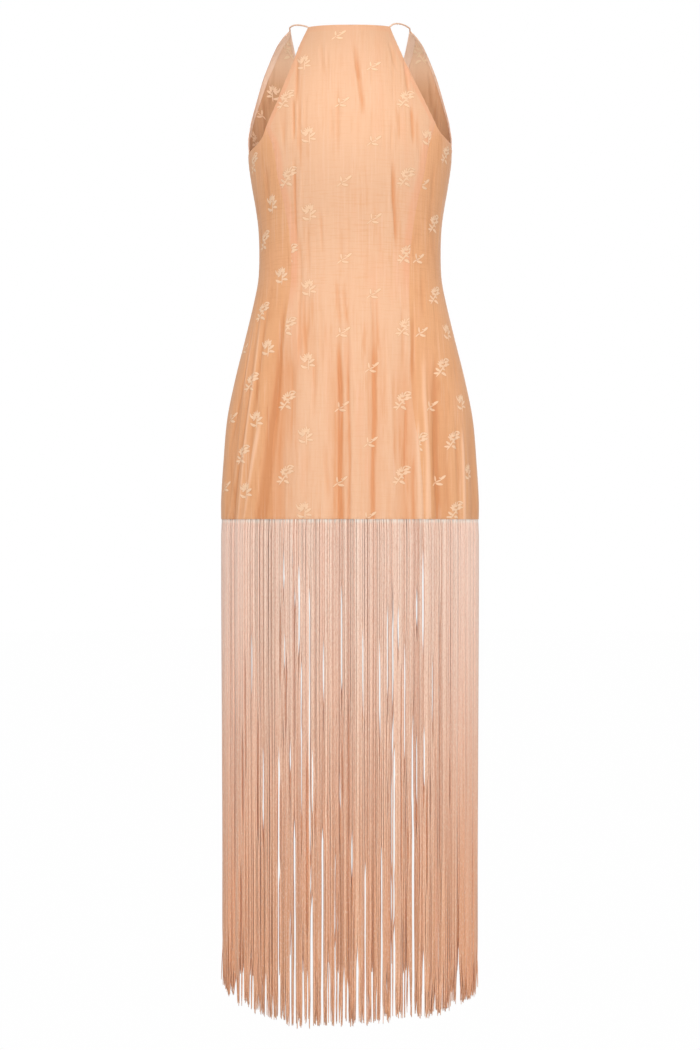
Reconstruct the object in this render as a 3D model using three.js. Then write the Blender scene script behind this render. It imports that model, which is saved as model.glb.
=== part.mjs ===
// A fringed maxi dress, as it hangs when worn: a fitted princess-line dress of thin satin with a
// high straight front neck, a low scooped back, rouleau straps, and a deep fringe from its hem.
// Millimetres. X runs across the dress (+X is the viewer's right from the front), the front faces
// -Y, and +Z is up. The origin is midway between the places where the straps cross the shoulders.
import * as THREE from 'three';

// Driving sizes.
const CLOTH = 1.2; // wall of every cut piece, with its turnings
const FACING = 1; // wall of the bias facings
const FACING_GAP = 0.9; // between a panel and its facing, to clear the panel's flats
const SEAM_GAP = 0.3; // between neighbours, and between a panel and what lies on it
const HEM_Z = -693;
const FRINGE_TIP_Z = -1355;
const FRINGE_WALL = 3;
const FRINGE_TURN_IN = 10; // how far the fringe reaches up behind the hem
const FRINGE_GAP = 1.5; // between the hem's inner face and the fringe
const STRAP_RADIUS = 1.1;
const STRAP_SIDES = 8;
const STRAP_STEPS = 18;
const STRAP_INSET = 0.03; // angle from the armhole edge to where a strap is caught in the front
const NECK_Z = -24; // front neck edge at centre front
const NECK_RISE = 4; // how much higher its corners are
const BACK_TIP_Z = 7; // where a strap meets the back
const SCOOP_Z = -165; // lowest point of the back neck
const SCOOP_HALF_WIDTH = 85.2;
const SCOOP_POWER = 1.055; // how soon the scoop leaves its steep sides
const ARMHOLE_BEND = 4.5; // how soon a front armhole's edge levels out towards the side seam
const SQUARENESS = 2.2; // of every level of the form; 2 is an ellipse
const BODICE_FOOT_Z = -200; // level row under the armholes
const SIDE_SEAM = Math.PI / 2; // angles run from centre front, positive towards +X
const CENTRE_BACK = Math.PI;

// Grid of each panel.
const FRONT_COLUMNS = 18;
const SIDE_FRONT_COLUMNS = 8;
const BACK_COLUMNS = 12;
const UPPER_ROWS = 8; // between the neck and the princess seams' tops
const BODICE_ROWS = 3; // between a princess seam's top and the bodice foot
const SKIRT_ROWS = 19; // between the bodice foot and the hem
const FRINGE_COLUMNS = 30;

// The filled-out form, a row for each level. The half widths of front and back differ only above
// the underarm, where the two are apart; front and back are the depths at centre front and back.
const FORM = [
  { z: 8, frontHalf: 70, backHalf: 112, front: 60, back: 70 },
  { z: 3, frontHalf: 71, backHalf: 118, front: 61, back: 73 },
  { z: -5, frontHalf: 73, backHalf: 130, front: 63, back: 77 },
  { z: -28, frontHalf: 78, backHalf: 164, front: 69, back: 87 },
  { z: -56, frontHalf: 98, backHalf: 179, front: 82, back: 92.5 },
  { z: -88, frontHalf: 117, backHalf: 167, front: 93, back: 96 },
  { z: -121, frontHalf: 133, backHalf: 154.5, front: 102, back: 98 },
  { z: -157, frontHalf: 141, backHalf: 146, front: 109.5, back: 97.7 },
  { z: -187, frontHalf: 142, backHalf: 142, front: 113.5, back: 96 },
  { z: -204, frontHalf: 140.7, backHalf: 140.7, front: 113.5, back: 94 },
  { z: -232, frontHalf: 136.5, backHalf: 136.5, front: 110.5, back: 91 },
  { z: -260, frontHalf: 131.6, backHalf: 131.6, front: 105, back: 87 },
  { z: -288, frontHalf: 128, backHalf: 128, front: 99, back: 83.5 },
  { z: -323, frontHalf: 126.7, backHalf: 126.7, front: 93.5, back: 81.5 },
  { z: -358, frontHalf: 128, backHalf: 128, front: 92.5, back: 84 },
  { z: -386, frontHalf: 133, backHalf: 133, front: 94, back: 89 },
  { z: -442, frontHalf: 146.3, backHalf: 146.3, front: 99.5, back: 102 },
  { z: -498, frontHalf: 160.3, backHalf: 160.3, front: 104, back: 113 },
  { z: -554, frontHalf: 171.5, backHalf: 171.5, front: 107, back: 119.5 },
  { z: -617, frontHalf: 177, backHalf: 177, front: 108.5, back: 120 },
  { z: -666, frontHalf: 180, backHalf: 180, front: 109, back: 117.5 },
  { z: HEM_Z, frontHalf: 180, backHalf: 180, front: 109, back: 116 },
];

// The two sides of the dress. It hangs a little unevenly, so their armholes differ in height.
const SIDES = {
  left: { sign: -1, princessTop: -164.6, facingFoot: -183, underarm: -187 },
  right: { sign: 1, princessTop: -158, facingFoot: -171, underarm: -175 },
};

// Distance of the front's armhole edges from the centre line, above the princess seams.
const FRONT_ARMHOLE = [
  { z: -20, left: 57.3, right: 54.8 },
  { z: -31, left: 62.8, right: 58.8 },
  { z: -49, left: 69.4, right: 65 },
  { z: -66, left: 74.6, right: 71.6 },
  { z: -99, left: 86.7, right: 86.3 },
  { z: -128, left: 97.6, right: 100.2 },
  { z: -158, left: 111, right: 116 },
  { z: -164.6, left: 114, right: 119 },
];

// Distance of the princess seams from the centre line, down to the hem.
const PRINCESS = [
  { z: -158, left: 116, right: 116 },
  { z: -164.6, left: 114, right: 114 },
  { z: -198, left: 102.4, right: 105 },
  { z: -230, left: 98, right: 99.7 },
  { z: -270, left: 88.9, right: 90.3 },
  { z: -315, left: 80.9, right: 83.5 },
  { z: -347, left: 79.5, right: 81 },
  { z: -384, left: 80.9, right: 80 },
  { z: -437, left: 88.3, right: 80.6 },
  { z: -480, left: 93, right: 82.6 },
  { z: -535, left: 99.7, right: 85 },
  { z: -590, left: 106.5, right: 91.4 },
  { z: -640, left: 107, right: 96.6 },
  { z: HEM_Z, left: 106.5, right: 98.8 },
];

// Distance of the back's armhole edge from the centre line, the same on both sides.
const BACK_ARMHOLE = [
  { z: 7, x: 87.2 },
  { z: 0, x: 95 },
  { z: -10, x: 103.8 },
  { z: -18, x: 109 },
  { z: -28, x: 114.5 },
  { z: -56, x: 126 },
  { z: -88, x: 134.2 },
  { z: -121, x: 141 },
  { z: -139, x: 143 },
  { z: -157, x: 144 },
  { z: -187, x: 142 },
];

// The largest folds of the skirt: a soft trough each, deeper towards its foot. The angle is from
// centre front at the fold's top and foot, in degrees, and reach is the trough's half width.
const FOLDS = [
  { name: 'left princess seam', top: -410, foot: HEM_Z, from: -44, to: -47, reach: 30, depth: 4.5 },
  { name: 'left of centre', top: -435, foot: HEM_Z, from: -9, to: -7, reach: 22, depth: 3.5 },
  { name: 'right of centre', top: -395, foot: HEM_Z, from: 19, to: 16, reach: 18, depth: 2.5 },
  { name: 'left thigh', top: -375, foot: -540, from: -33, to: -28, reach: 18, depth: 2 },
  { name: 'right princess seam', top: -440, foot: HEM_Z, from: 38, to: 37, reach: 24, depth: 3.5 },
  { name: 'right side front', top: -440, foot: HEM_Z, from: 52, to: 55, reach: 20, depth: 3 },
  { name: 'left side', top: -470, foot: HEM_Z, from: -70, to: -72, reach: 20, depth: 2.5 },
  { name: 'right side', top: -520, foot: HEM_Z, from: 78, to: 76, reach: 18, depth: 2.5 },
  { name: 'back, right', top: -450, foot: HEM_Z, from: 122, to: 120, reach: 24, depth: 3.5 },
  { name: 'back, right of centre', top: -520, foot: HEM_Z, from: 158, to: 160, reach: 20, depth: 3 },
  { name: 'back, left of centre', top: -500, foot: HEM_Z, from: -164, to: -161, reach: 22, depth: 3 },
  { name: 'back, left', top: -440, foot: HEM_Z, from: -130, to: -127, reach: 26, depth: 4 },
];
const FOLD_FADE = 90; // length over which a fold starts and ends

// Widths of the bias facings inside the back, at the tip and at their lower end.
const FACINGS = {
  left: { armhole: { top: 9, foot: 5.5 }, neck: { top: 3, foot: 4 } },
  right: { armhole: { top: 3.5, foot: 2.5 }, neck: { top: 13, foot: 10 } },
};
const NECK_FACING_FOOT_Z = -160;

// Path of a strap over a shoulder, from the front corner to the back tip, as it is on the right.
const STRAP_PATH = [
  { out: 57, y: -38, z: -16.5 },
  { out: 59.5, y: -28, z: -11.6 },
  { out: 65.7, y: -10, z: -4 },
  { out: 72.4, y: 8, z: 2.4 },
  { out: 78.6, y: 24, z: 6.6 },
  { out: 83, y: 36, z: 8.7 },
  { out: 85.8, y: 44, z: 9.2 },
];

const SATIN = { color: 0xefbc95, roughness: 0.42, metalness: 0 };
const SIDE_SATIN = { color: 0xdda274, roughness: 0.45, metalness: 0 };
const FACING_CLOTH = { color: 0xddb59b, roughness: 0.7, metalness: 0 };
const FRINGE_YARN = { color: 0xd9a98a, roughness: 0.6, metalness: 0 };

const lerp = THREE.MathUtils.lerp;

/** Smooth curve through one column of a table whose rows run downwards, at the height z. */
function column(rows, key, z) {
  const last = rows.length - 1;
  const height = THREE.MathUtils.clamp(z, rows[last].z, rows[0].z);
  let i = 0;
  while (i < last - 1 && rows[i + 1].z > height) i += 1;
  const slopeAt = (k) => {
    const above = rows[Math.max(k - 1, 0)];
    const below = rows[Math.min(k + 1, last)];
    return (below[key] - above[key]) / (below.z - above.z);
  };
  const span = rows[i + 1].z - rows[i].z;
  const t = (height - rows[i].z) / span;
  const bend = t * (1 - t) * span;
  return lerp(rows[i][key], rows[i + 1][key], t * t * (3 - 2 * t))
    + bend * ((1 - t) * slopeAt(i) - t * slopeAt(i + 1));
}

/** Half width and depth of the form at a level, as the front or the back has them. */
function levelOf(face, z) {
  return { half: column(FORM, `${face}Half`, z), depth: column(FORM, face, z) };
}

/** Angle from centre front at which the form is x from the centre plane. */
function angleAt(face, x, z) {
  const { half, depth } = levelOf(face, z);
  const share = Math.min(Math.abs(x) / half, 1);
  const ahead = depth * (1 - share ** SQUARENESS) ** (1 / SQUARENESS);
  return Math.atan2(x, face === 'front' ? ahead : -ahead);
}

/** How deep the folds press the cloth in at a place on the form of this radius. */
function foldDepth(angle, z, radius) {
  return FOLDS.reduce((sum, fold) => {
    const t = (fold.top - z) / (fold.top - fold.foot);
    const line = THREE.MathUtils.degToRad(lerp(fold.from, fold.to, THREE.MathUtils.clamp(t, 0, 1)));
    const turn = Math.atan2(Math.sin(angle - line), Math.cos(angle - line));
    const aside = Math.abs(turn) * radius / fold.reach;
    const begun = THREE.MathUtils.smoothstep(fold.top - z, 0, FOLD_FADE);
    const ended = fold.foot > HEM_Z ? THREE.MathUtils.smoothstep(z - fold.foot, 0, FOLD_FADE) : 1;
    const across = aside < 1 ? Math.cos(aside * Math.PI / 2) ** 2 : 0;
    return sum + fold.depth * across * begun * ended;
  }, 0);
}

/** Point on the cloth's outer face, or straight below the hem where the fringe hangs. */
function surfacePoint(face, angle, z) {
  const { half, depth } = levelOf(face, z);
  const across = Math.abs(Math.sin(angle)) / half;
  const ahead = Math.abs(Math.cos(angle)) / depth;
  const radius = (across ** SQUARENESS + ahead ** SQUARENESS) ** (-1 / SQUARENESS);
  const pressed = radius - foldDepth(angle, z, radius);
  return new THREE.Vector3(pressed * Math.sin(angle), -pressed * Math.cos(angle), z);
}

/** Point under the outer face by a distance along its normal. */
function pointUnder(face, angle, z, under) {
  const turn = 0.004;
  const rise = 0.5;
  const around = surfacePoint(face, angle + turn, z).sub(surfacePoint(face, angle - turn, z));
  const upwards = surfacePoint(face, angle, z + rise).sub(surfacePoint(face, angle, z - rise));
  const normal = around.cross(upwards).normalize();
  return surfacePoint(face, angle, z).addScaledVector(normal, -under);
}

/** Angle that half a seam's gap takes up at a place on the form. */
function seamAngle(face, angle, z) {
  const { x, y } = surfacePoint(face, angle, z);
  return SEAM_GAP / 2 / Math.hypot(x, y);
}

/** Mesh named for its piece. */
function named(name, geometry, look) {
  const mesh = new THREE.Mesh(geometry, new THREE.MeshStandardMaterial(look));
  mesh.name = name;
  return mesh;
}

/**
 * Closed wall of cloth over a grid. place(row, share) gives { face, angle, z }, with rows running
 * downwards and share from 0 to 1 in the direction of growing angle; from and to are its depths.
 */
function clothWall(rows, columns, place, from, to) {
  const positions = [];
  for (const under of [from, to]) {
    for (let row = 0; row <= rows; row += 1) {
      for (let i = 0; i <= columns; i += 1) {
        const { face, angle, z } = place(row, i / columns);
        positions.push(...pointUnder(face, angle, z, under).toArray());
      }
    }
  }
  const wide = columns + 1;
  const inner = wide * (rows + 1);
  const faces = [];
  const quad = (a, b, c, d) => faces.push(a, b, c, a, c, d);
  for (let row = 0; row < rows; row += 1) {
    for (let i = 0; i < columns; i += 1) {
      const a = row * wide + i;
      quad(a, a + wide, a + wide + 1, a + 1);
      quad(inner + a, inner + a + 1, inner + a + wide + 1, inner + a + wide);
    }
  }
  for (let i = 0; i < columns; i += 1) {
    const foot = rows * wide + i;
    quad(i, i + 1, inner + i + 1, inner + i);
    quad(foot + 1, foot, inner + foot, inner + foot + 1);
  }
  for (let row = 0; row < rows; row += 1) {
    const start = row * wide;
    const end = start + columns;
    quad(start + wide, start, inner + start, inner + start + wide);
    quad(end, end + wide, inner + end + wide, inner + end);
  }
  const geometry = new THREE.BufferGeometry();
  geometry.setAttribute('position', new THREE.Float32BufferAttribute(positions, 3));
  geometry.setIndex(faces);
  return geometry;
}

/** Even levels from one height to another, the first left out. */
function levelsDown(from, to, count) {
  return Array.from({ length: count }, (_, i) => lerp(from, to, (i + 1) / count));
}

/** Levels that every panel shares at its seams below the bodice foot. */
const SKIRT_LEVELS = levelsDown(BODICE_FOOT_Z, HEM_Z, SKIRT_ROWS);

/** Angle of a princess seam, or of the front's armhole edge above it. */
function frontEdgeAngle(sideName, z) {
  const side = SIDES[sideName];
  const rows = z > side.princessTop ? FRONT_ARMHOLE : PRINCESS;
  return side.sign * Math.abs(angleAt('front', column(rows, sideName, z), z));
}

function frontCentre() {
  const upper = levelsDown(NECK_Z + NECK_RISE, SIDES.left.princessTop, UPPER_ROWS);
  const bodice = levelsDown(SIDES.left.princessTop, BODICE_FOOT_Z, BODICE_ROWS);
  const levels = [NECK_Z + NECK_RISE, ...upper, ...bodice, ...SKIRT_LEVELS];
  const place = (row, share) => {
    const level = levels[row];
    const z = row === 0 ? NECK_Z + NECK_RISE * (2 * share - 1) ** 2 : level;
    const left = frontEdgeAngle('left', level);
    const right = frontEdgeAngle('right', level);
    const trim = seamAngle('front', left, level);
    return { face: 'front', angle: lerp(left + trim, right - trim, share), z };
  };
  return named('front_centre', clothWall(levels.length - 1, FRONT_COLUMNS, place, 0, CLOTH), SATIN);
}

function frontSide(sideName) {
  const side = SIDES[sideName];
  const rows = BODICE_ROWS + SKIRT_ROWS;
  const place = (row, share) => {
    const outward = side.sign > 0 ? share : 1 - share;
    const armhole = lerp(side.princessTop, side.underarm, 1 - (1 - outward) ** ARMHOLE_BEND);
    const upper = lerp(armhole, BODICE_FOOT_Z, row / BODICE_ROWS);
    const z = row <= BODICE_ROWS ? upper : SKIRT_LEVELS[row - BODICE_ROWS - 1];
    const seam = Math.abs(frontEdgeAngle(sideName, Math.min(z, side.princessTop)));
    const trim = seamAngle('front', seam, z);
    return { face: 'front', angle: side.sign * lerp(seam + trim, SIDE_SEAM - trim, outward), z };
  };
  return named(`front_side_${sideName}`, clothWall(rows, SIDE_FRONT_COLUMNS, place, 0, CLOTH), SIDE_SATIN);
}

/** Angles of a back panel's neck or centre edge and of its armhole or side edge. */
function backEdges(sideName, z) {
  const drop = THREE.MathUtils.clamp((BACK_TIP_Z - z) / (BACK_TIP_Z - SCOOP_Z), 0, 1);
  const neck = SCOOP_HALF_WIDTH * Math.sqrt(1 - drop ** SCOOP_POWER);
  const armhole = z > SIDES[sideName].underarm ? column(BACK_ARMHOLE, 'x', z) : Infinity;
  return { neck: angleAt('back', neck, z), side: angleAt('back', armhole, z) };
}

/** Levels of a back panel above its scoop, closer together where the scoop turns. */
const SCOOP_LEVELS = [3, -1, -6, -14, -26, -42, -60, -78, -96, -114, -130, -143, -153, -160, SCOOP_Z];

function back(sideName) {
  const side = SIDES[sideName];
  const bodice = [side.facingFoot, side.underarm, BODICE_FOOT_Z];
  const levels = [BACK_TIP_Z, ...SCOOP_LEVELS, ...bodice, ...SKIRT_LEVELS];
  const place = (row, share) => {
    const z = levels[row];
    const edges = backEdges(sideName, z);
    const trim = seamAngle('back', edges.neck, z);
    const inward = side.sign > 0 ? share : 1 - share;
    return { face: 'back', angle: side.sign * lerp(edges.side + trim, edges.neck - trim, inward), z };
  };
  return named(`back_${sideName}`, clothWall(levels.length - 1, BACK_COLUMNS, place, 0, CLOTH), SATIN);
}

/** Bias facing along one edge of a back panel, lying inside it. */
function backFacing(sideName, edgeName) {
  const { sign, facingFoot } = SIDES[sideName];
  const foot = edgeName === 'armhole' ? facingFoot : NECK_FACING_FOOT_Z;
  const levels = [...SCOOP_LEVELS.filter((z) => z > foot), foot];
  const place = (row, share) => {
    const z = levels[row];
    const t = Math.sqrt(Math.max(z / foot, 0));
    const edges = backEdges(sideName, z);
    const { x, y } = surfacePoint('back', edges.side, z);
    const radius = Math.hypot(x, y);
    const widths = FACINGS[sideName];
    const armholeWidth = lerp(widths.armhole.top, widths.armhole.foot, t);
    const neckWidth = lerp(widths.neck.top, widths.neck.foot, t);
    const room = (edges.neck - edges.side) * radius - 3 * SEAM_GAP;
    const fit = Math.min(1, room / (armholeWidth + neckWidth)) / radius;
    const trim = SEAM_GAP / radius;
    const inward = sign > 0 ? share : 1 - share;
    const angle = edgeName === 'armhole'
      ? edges.side + trim + inward * armholeWidth * fit
      : edges.neck - trim - (1 - inward) * neckWidth * fit;
    return { face: 'back', angle: sign * angle, z };
  };
  const outer = CLOTH + FACING_GAP;
  const geometry = clothWall(levels.length - 1, 1, place, outer, outer + FACING);
  return named(`back_facing_${edgeName}_${sideName}`, geometry, FACING_CLOTH);
}

/** Rouleau strap from inside the front's corner, over the shoulder, down to the back's tip. */
function strap(sideName) {
  const { sign } = SIDES[sideName];
  const cornerZ = NECK_Z + NECK_RISE;
  const under = CLOTH + SEAM_GAP + STRAP_RADIUS;
  const atCorner = (z) => pointUnder('front', frontEdgeAngle(sideName, z) - sign * STRAP_INSET, z, under);
  const tipAngle = lerp(backEdges(sideName, BACK_TIP_Z).side, backEdges(sideName, BACK_TIP_Z).neck, 0.5);
  const tip = pointUnder('back', sign * tipAngle, BACK_TIP_Z, CLOTH / 2);
  const overShoulder = STRAP_PATH.map(({ out, y, z }) => new THREE.Vector3(sign * out, y, z));
  const route = new THREE.CatmullRomCurve3([
    atCorner(cornerZ - 9),
    atCorner(cornerZ - 2),
    ...overShoulder,
    tip.clone().setZ(tip.z + SEAM_GAP + STRAP_RADIUS),
  ]);
  const section = new THREE.Shape();
  section.absarc(0, 0, STRAP_RADIUS, 0, 2 * Math.PI);
  const options = { steps: STRAP_STEPS, curveSegments: STRAP_SIDES / 2, extrudePath: route };
  return named(`strap_${sideName}`, new THREE.ExtrudeGeometry(section, options), SATIN);
}

/** The fringe's reach on the front or the back half: a plain wall that hangs from inside the hem. */
function fringe(face) {
  const levels = [HEM_Z + FRINGE_TURN_IN, HEM_Z - 60, (HEM_Z + FRINGE_TIP_Z) / 2, FRINGE_TIP_Z];
  const place = (row, share) => {
    const trim = seamAngle(face, SIDE_SEAM, levels[row]);
    const aside = lerp(trim - SIDE_SEAM, SIDE_SEAM - trim, share);
    return { face, angle: face === 'front' ? aside : aside + CENTRE_BACK, z: levels[row] };
  };
  const outer = CLOTH + FRINGE_GAP;
  const geometry = clothWall(levels.length - 1, FRINGE_COLUMNS, place, outer, outer + FRINGE_WALL);
  return named(`fringe_${face}`, geometry, FRINGE_YARN);
}

const dress = new THREE.Group();
dress.add(frontCentre());
for (const sideName of Object.keys(SIDES)) {
  dress.add(frontSide(sideName));
  dress.add(back(sideName));
  dress.add(backFacing(sideName, 'armhole'));
  dress.add(backFacing(sideName, 'neck'));
  dress.add(strap(sideName));
}
dress.add(fringe('front'));
dress.add(fringe('back'));

export default dress;
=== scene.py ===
import math

import bmesh
import bpy
import numpy as np
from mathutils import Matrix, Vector


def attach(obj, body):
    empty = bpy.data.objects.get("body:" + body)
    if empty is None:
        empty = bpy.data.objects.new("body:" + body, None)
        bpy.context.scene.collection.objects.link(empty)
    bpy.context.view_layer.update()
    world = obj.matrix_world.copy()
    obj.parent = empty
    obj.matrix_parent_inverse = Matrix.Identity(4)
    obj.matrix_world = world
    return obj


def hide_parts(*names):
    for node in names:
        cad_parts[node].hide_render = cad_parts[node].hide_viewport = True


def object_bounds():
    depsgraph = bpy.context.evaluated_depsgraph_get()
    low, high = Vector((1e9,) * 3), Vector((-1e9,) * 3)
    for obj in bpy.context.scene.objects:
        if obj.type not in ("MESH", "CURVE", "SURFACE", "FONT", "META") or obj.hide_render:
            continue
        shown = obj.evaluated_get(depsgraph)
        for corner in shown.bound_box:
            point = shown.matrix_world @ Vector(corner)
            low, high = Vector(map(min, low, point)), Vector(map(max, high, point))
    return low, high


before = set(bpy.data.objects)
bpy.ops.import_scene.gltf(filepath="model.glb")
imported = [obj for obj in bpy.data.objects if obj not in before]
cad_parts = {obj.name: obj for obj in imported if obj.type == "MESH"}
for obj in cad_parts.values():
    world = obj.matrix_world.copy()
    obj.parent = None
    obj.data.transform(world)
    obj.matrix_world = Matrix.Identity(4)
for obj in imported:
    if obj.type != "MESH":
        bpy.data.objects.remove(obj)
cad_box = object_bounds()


# ---- Studio -----------------------------------------------------------------------------------
# A level camera in front of the dress, a white surround that only the camera sees, a pale floor
# under the fringe, and a wide soft light from the front with weaker ones round about.
CAMERA_DISTANCE = 2.0
CAMERA_Z = -0.701
FRAME_AT_DRESS = 1.47  # height of the view at the dress's middle
SENSOR = 36.0
VIEW_REACH = 60
SURROUND_RADIUS = 9
SURROUND_GLOW = 1.0
FLOOR_RADIUS = 8
FLOOR_GLOW = 0.995
FLOOR_GAP = 0.07  # the fringe clears the floor, as it does on a wearer
ROOM_COLOUR = (1, 0.985, 0.97, 1)
ROOM_LIGHT = 0.55

camera_data = bpy.data.cameras.new("camera")
camera_data.sensor_width = SENSOR
camera_data.lens = SENSOR * CAMERA_DISTANCE / FRAME_AT_DRESS
camera_data.clip_end = VIEW_REACH
camera = bpy.data.objects.new("camera", camera_data)
camera.location = (0, -CAMERA_DISTANCE, CAMERA_Z)
camera.rotation_euler = (math.pi / 2, 0, 0)
bpy.context.collection.objects.link(camera)
bpy.context.scene.camera = camera
bpy.context.scene.view_settings.view_transform = "Standard"


def mesh_from(bm, name):
    """A new mesh of what a bmesh holds. The bmesh is freed."""
    mesh = bpy.data.meshes.new(name)
    bm.to_mesh(mesh)
    bm.free()
    return mesh


def studio_piece(name, bm, strength):
    """A plain white studio surface with its own glow, which lights nothing else."""
    material = bpy.data.materials.new(name)
    material.use_nodes = True
    tree = material.node_tree
    tree.nodes.clear()
    glow = tree.nodes.new("ShaderNodeEmission")
    glow.inputs["Strength"].default_value = strength
    output = tree.nodes.new("ShaderNodeOutputMaterial")
    tree.links.new(glow.outputs[0], output.inputs["Surface"])
    mesh = mesh_from(bm, name)
    mesh.materials.append(material)
    piece = bpy.data.objects.new(name, mesh)
    piece.visible_diffuse = False
    piece.visible_glossy = False
    piece.visible_transmission = False
    piece.visible_shadow = False
    bpy.context.collection.objects.link(piece)


bm = bmesh.new()
bmesh.ops.create_icosphere(bm, subdivisions=4, radius=SURROUND_RADIUS)
studio_piece("surround", bm, SURROUND_GLOW)
bm = bmesh.new()
bmesh.ops.create_circle(bm, cap_ends=True, segments=96, radius=FLOOR_RADIUS)
bmesh.ops.translate(bm, verts=bm.verts, vec=(0, 0, cad_box[0][2] - FLOOR_GAP))
studio_piece("floor", bm, FLOOR_GLOW)

world = bpy.data.worlds.new("studio")
world.use_nodes = True
background = world.node_tree.nodes["Background"]
background.inputs["Color"].default_value = ROOM_COLOUR
background.inputs["Strength"].default_value = ROOM_LIGHT
bpy.context.scene.world = world

# Where each softbox stands, what it faces, its width, height and watts. The one inside the skirt
# lights the far yarns of the fringe, which would otherwise be seen dark through the near ones.
SOFTBOXES = {
    "front": ((0.0, -2.7, -0.45), (0, 0, -0.75), 2.2, 3.0, 29.5),
    "above": ((0.0, -1.5, 1.7), (0, 0, -0.5), 1.6, 1.0, 22),
    "left": ((-2.4, -1.2, -0.5), (0, 0, -0.7), 0.9, 2.4, 9.2),
    "right": ((2.4, -1.2, -0.5), (0, 0, -0.7), 0.9, 2.4, 12.8),
    "back": ((0.3, 2.6, -0.2), (0, 0, -0.7), 1.6, 2.8, 24),
    "inside": ((0.0, -0.06, -1.02), (0, 0.1, -1.02), 0.2, 0.6, 0.5),
}
for name, (place, target, width, height, watts) in SOFTBOXES.items():
    light = bpy.data.lights.new(name, "AREA")
    light.shape = "RECTANGLE"
    light.size = width
    light.size_y = height
    light.energy = watts
    lamp = bpy.data.objects.new(name, light)
    lamp.location = place
    lamp.rotation_euler = (Vector(target) - Vector(place)).to_track_quat("-Z", "Y").to_euler()
    bpy.context.collection.objects.link(lamp)


# ---- Centre front -----------------------------------------------------------------------------
# The middle panel, cut in thin figured satin on the straight grain from the high neck edge to the
# hem and shaped by a princess seam down each side. Its neck and armhole edges are turned in.
MM = 0.001
HEM_Z = -693 * MM
NECK_Z = -24 * MM  # neck edge at centre front
NECK_RISE = 4 * MM  # how much higher its corners are
NECK_CORNER = 56 * MM  # how far out they are
NECK_SETTLES = 0.06  # share of the panel's length in which its grid loses the neck's curve
CLOTH = 0.6 * MM
SQUARENESS = 2.2  # of each level of the form; 2 is an ellipse
SIDE_SEAM = math.pi / 2  # angles run from centre front, positive towards +X

# The filled-out form, in millimetres: height, half width of the front and of the back, which
# differ only above the underarm, and depth at centre front and centre back.
FORM = np.array([
    (8, 70, 112, 60, 70),
    (3, 71, 118, 61, 73),
    (-5, 73, 130, 63, 77),
    (-28, 78, 164, 69, 87),
    (-56, 98, 179, 82, 92.5),
    (-88, 117, 167, 93, 96),
    (-121, 133, 154.5, 102, 98),
    (-157, 141, 146, 109.5, 97.7),
    (-187, 142, 142, 113.5, 96),
    (-204, 140.7, 140.7, 113.5, 94),
    (-232, 136.5, 136.5, 110.5, 91),
    (-260, 131.6, 131.6, 105, 87),
    (-288, 128, 128, 99, 83.5),
    (-323, 126.7, 126.7, 93.5, 81.5),
    (-358, 128, 128, 92.5, 84),
    (-386, 133, 133, 94, 89),
    (-442, 146.3, 146.3, 99.5, 102),
    (-498, 160.3, 160.3, 104, 113),
    (-554, 171.5, 171.5, 107, 119.5),
    (-617, 177, 177, 108.5, 120),
    (-666, 180, 180, 109, 117.5),
    (-693, 180, 180, 109, 116),
]) * MM
HALF_WIDTH = {"front": 1, "back": 2}
DEPTH = {"front": 3, "back": 4}

# The skirt's broad folds: height of top and foot in millimetres, angle from centre front at each
# in degrees, half width and depth in millimetres. Each is a soft trough, deeper to its foot.
FOLDS = [
    (-410, -693, -44, -47, 30, 4.5),
    (-435, -693, -9, -7, 22, 3.5),
    (-395, -693, 19, 16, 18, 2.5),
    (-375, -540, -33, -28, 18, 2),
    (-440, -693, 38, 37, 24, 3.5),
    (-440, -693, 52, 55, 20, 3),
    (-470, -693, -70, -72, 20, 2.5),
    (-520, -693, 78, 76, 18, 2.5),
    (-450, -693, 122, 120, 24, 3.5),
    (-520, -693, 158, 160, 20, 3),
    (-500, -693, -164, -161, 22, 3),
    (-440, -693, -130, -127, 26, 4),
]
FOLD_FADE = 90 * MM

# Distance of the front's edges from the centre line, in millimetres, by height: the armhole above
# the princess seams' tops, then the seams, for the left and the right side.
FRONT_ARMHOLE = np.array([
    (-20, 57.3, 54.8),
    (-31, 62.8, 58.8),
    (-49, 69.4, 65),
    (-66, 74.6, 71.6),
    (-99, 86.7, 86.3),
    (-128, 97.6, 100.2),
    (-158, 111, 116),
    (-164.6, 114, 119),
]) * MM
PRINCESS = np.array([
    (-158, 116, 116),
    (-164.6, 114, 114),
    (-198, 102.4, 105),
    (-230, 98, 99.7),
    (-270, 88.9, 90.3),
    (-315, 80.9, 83.5),
    (-347, 79.5, 81),
    (-384, 80.9, 80),
    (-437, 88.3, 80.6),
    (-480, 93, 82.6),
    (-535, 99.7, 85),
    (-590, 106.5, 91.4),
    (-640, 107, 96.6),
    (-693, 106.5, 98.8),
]) * MM
SIDE_COLUMN = {"left": 1, "right": 2}
SIGN = {"left": -1, "right": 1}
PRINCESS_TOP = {"left": -164.6 * MM, "right": -158 * MM}
UNDERARM = {"left": -187 * MM, "right": -175 * MM}
ARMHOLE_BEND = 4.5  # how soon a front armhole's edge levels out towards the side seam

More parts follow.
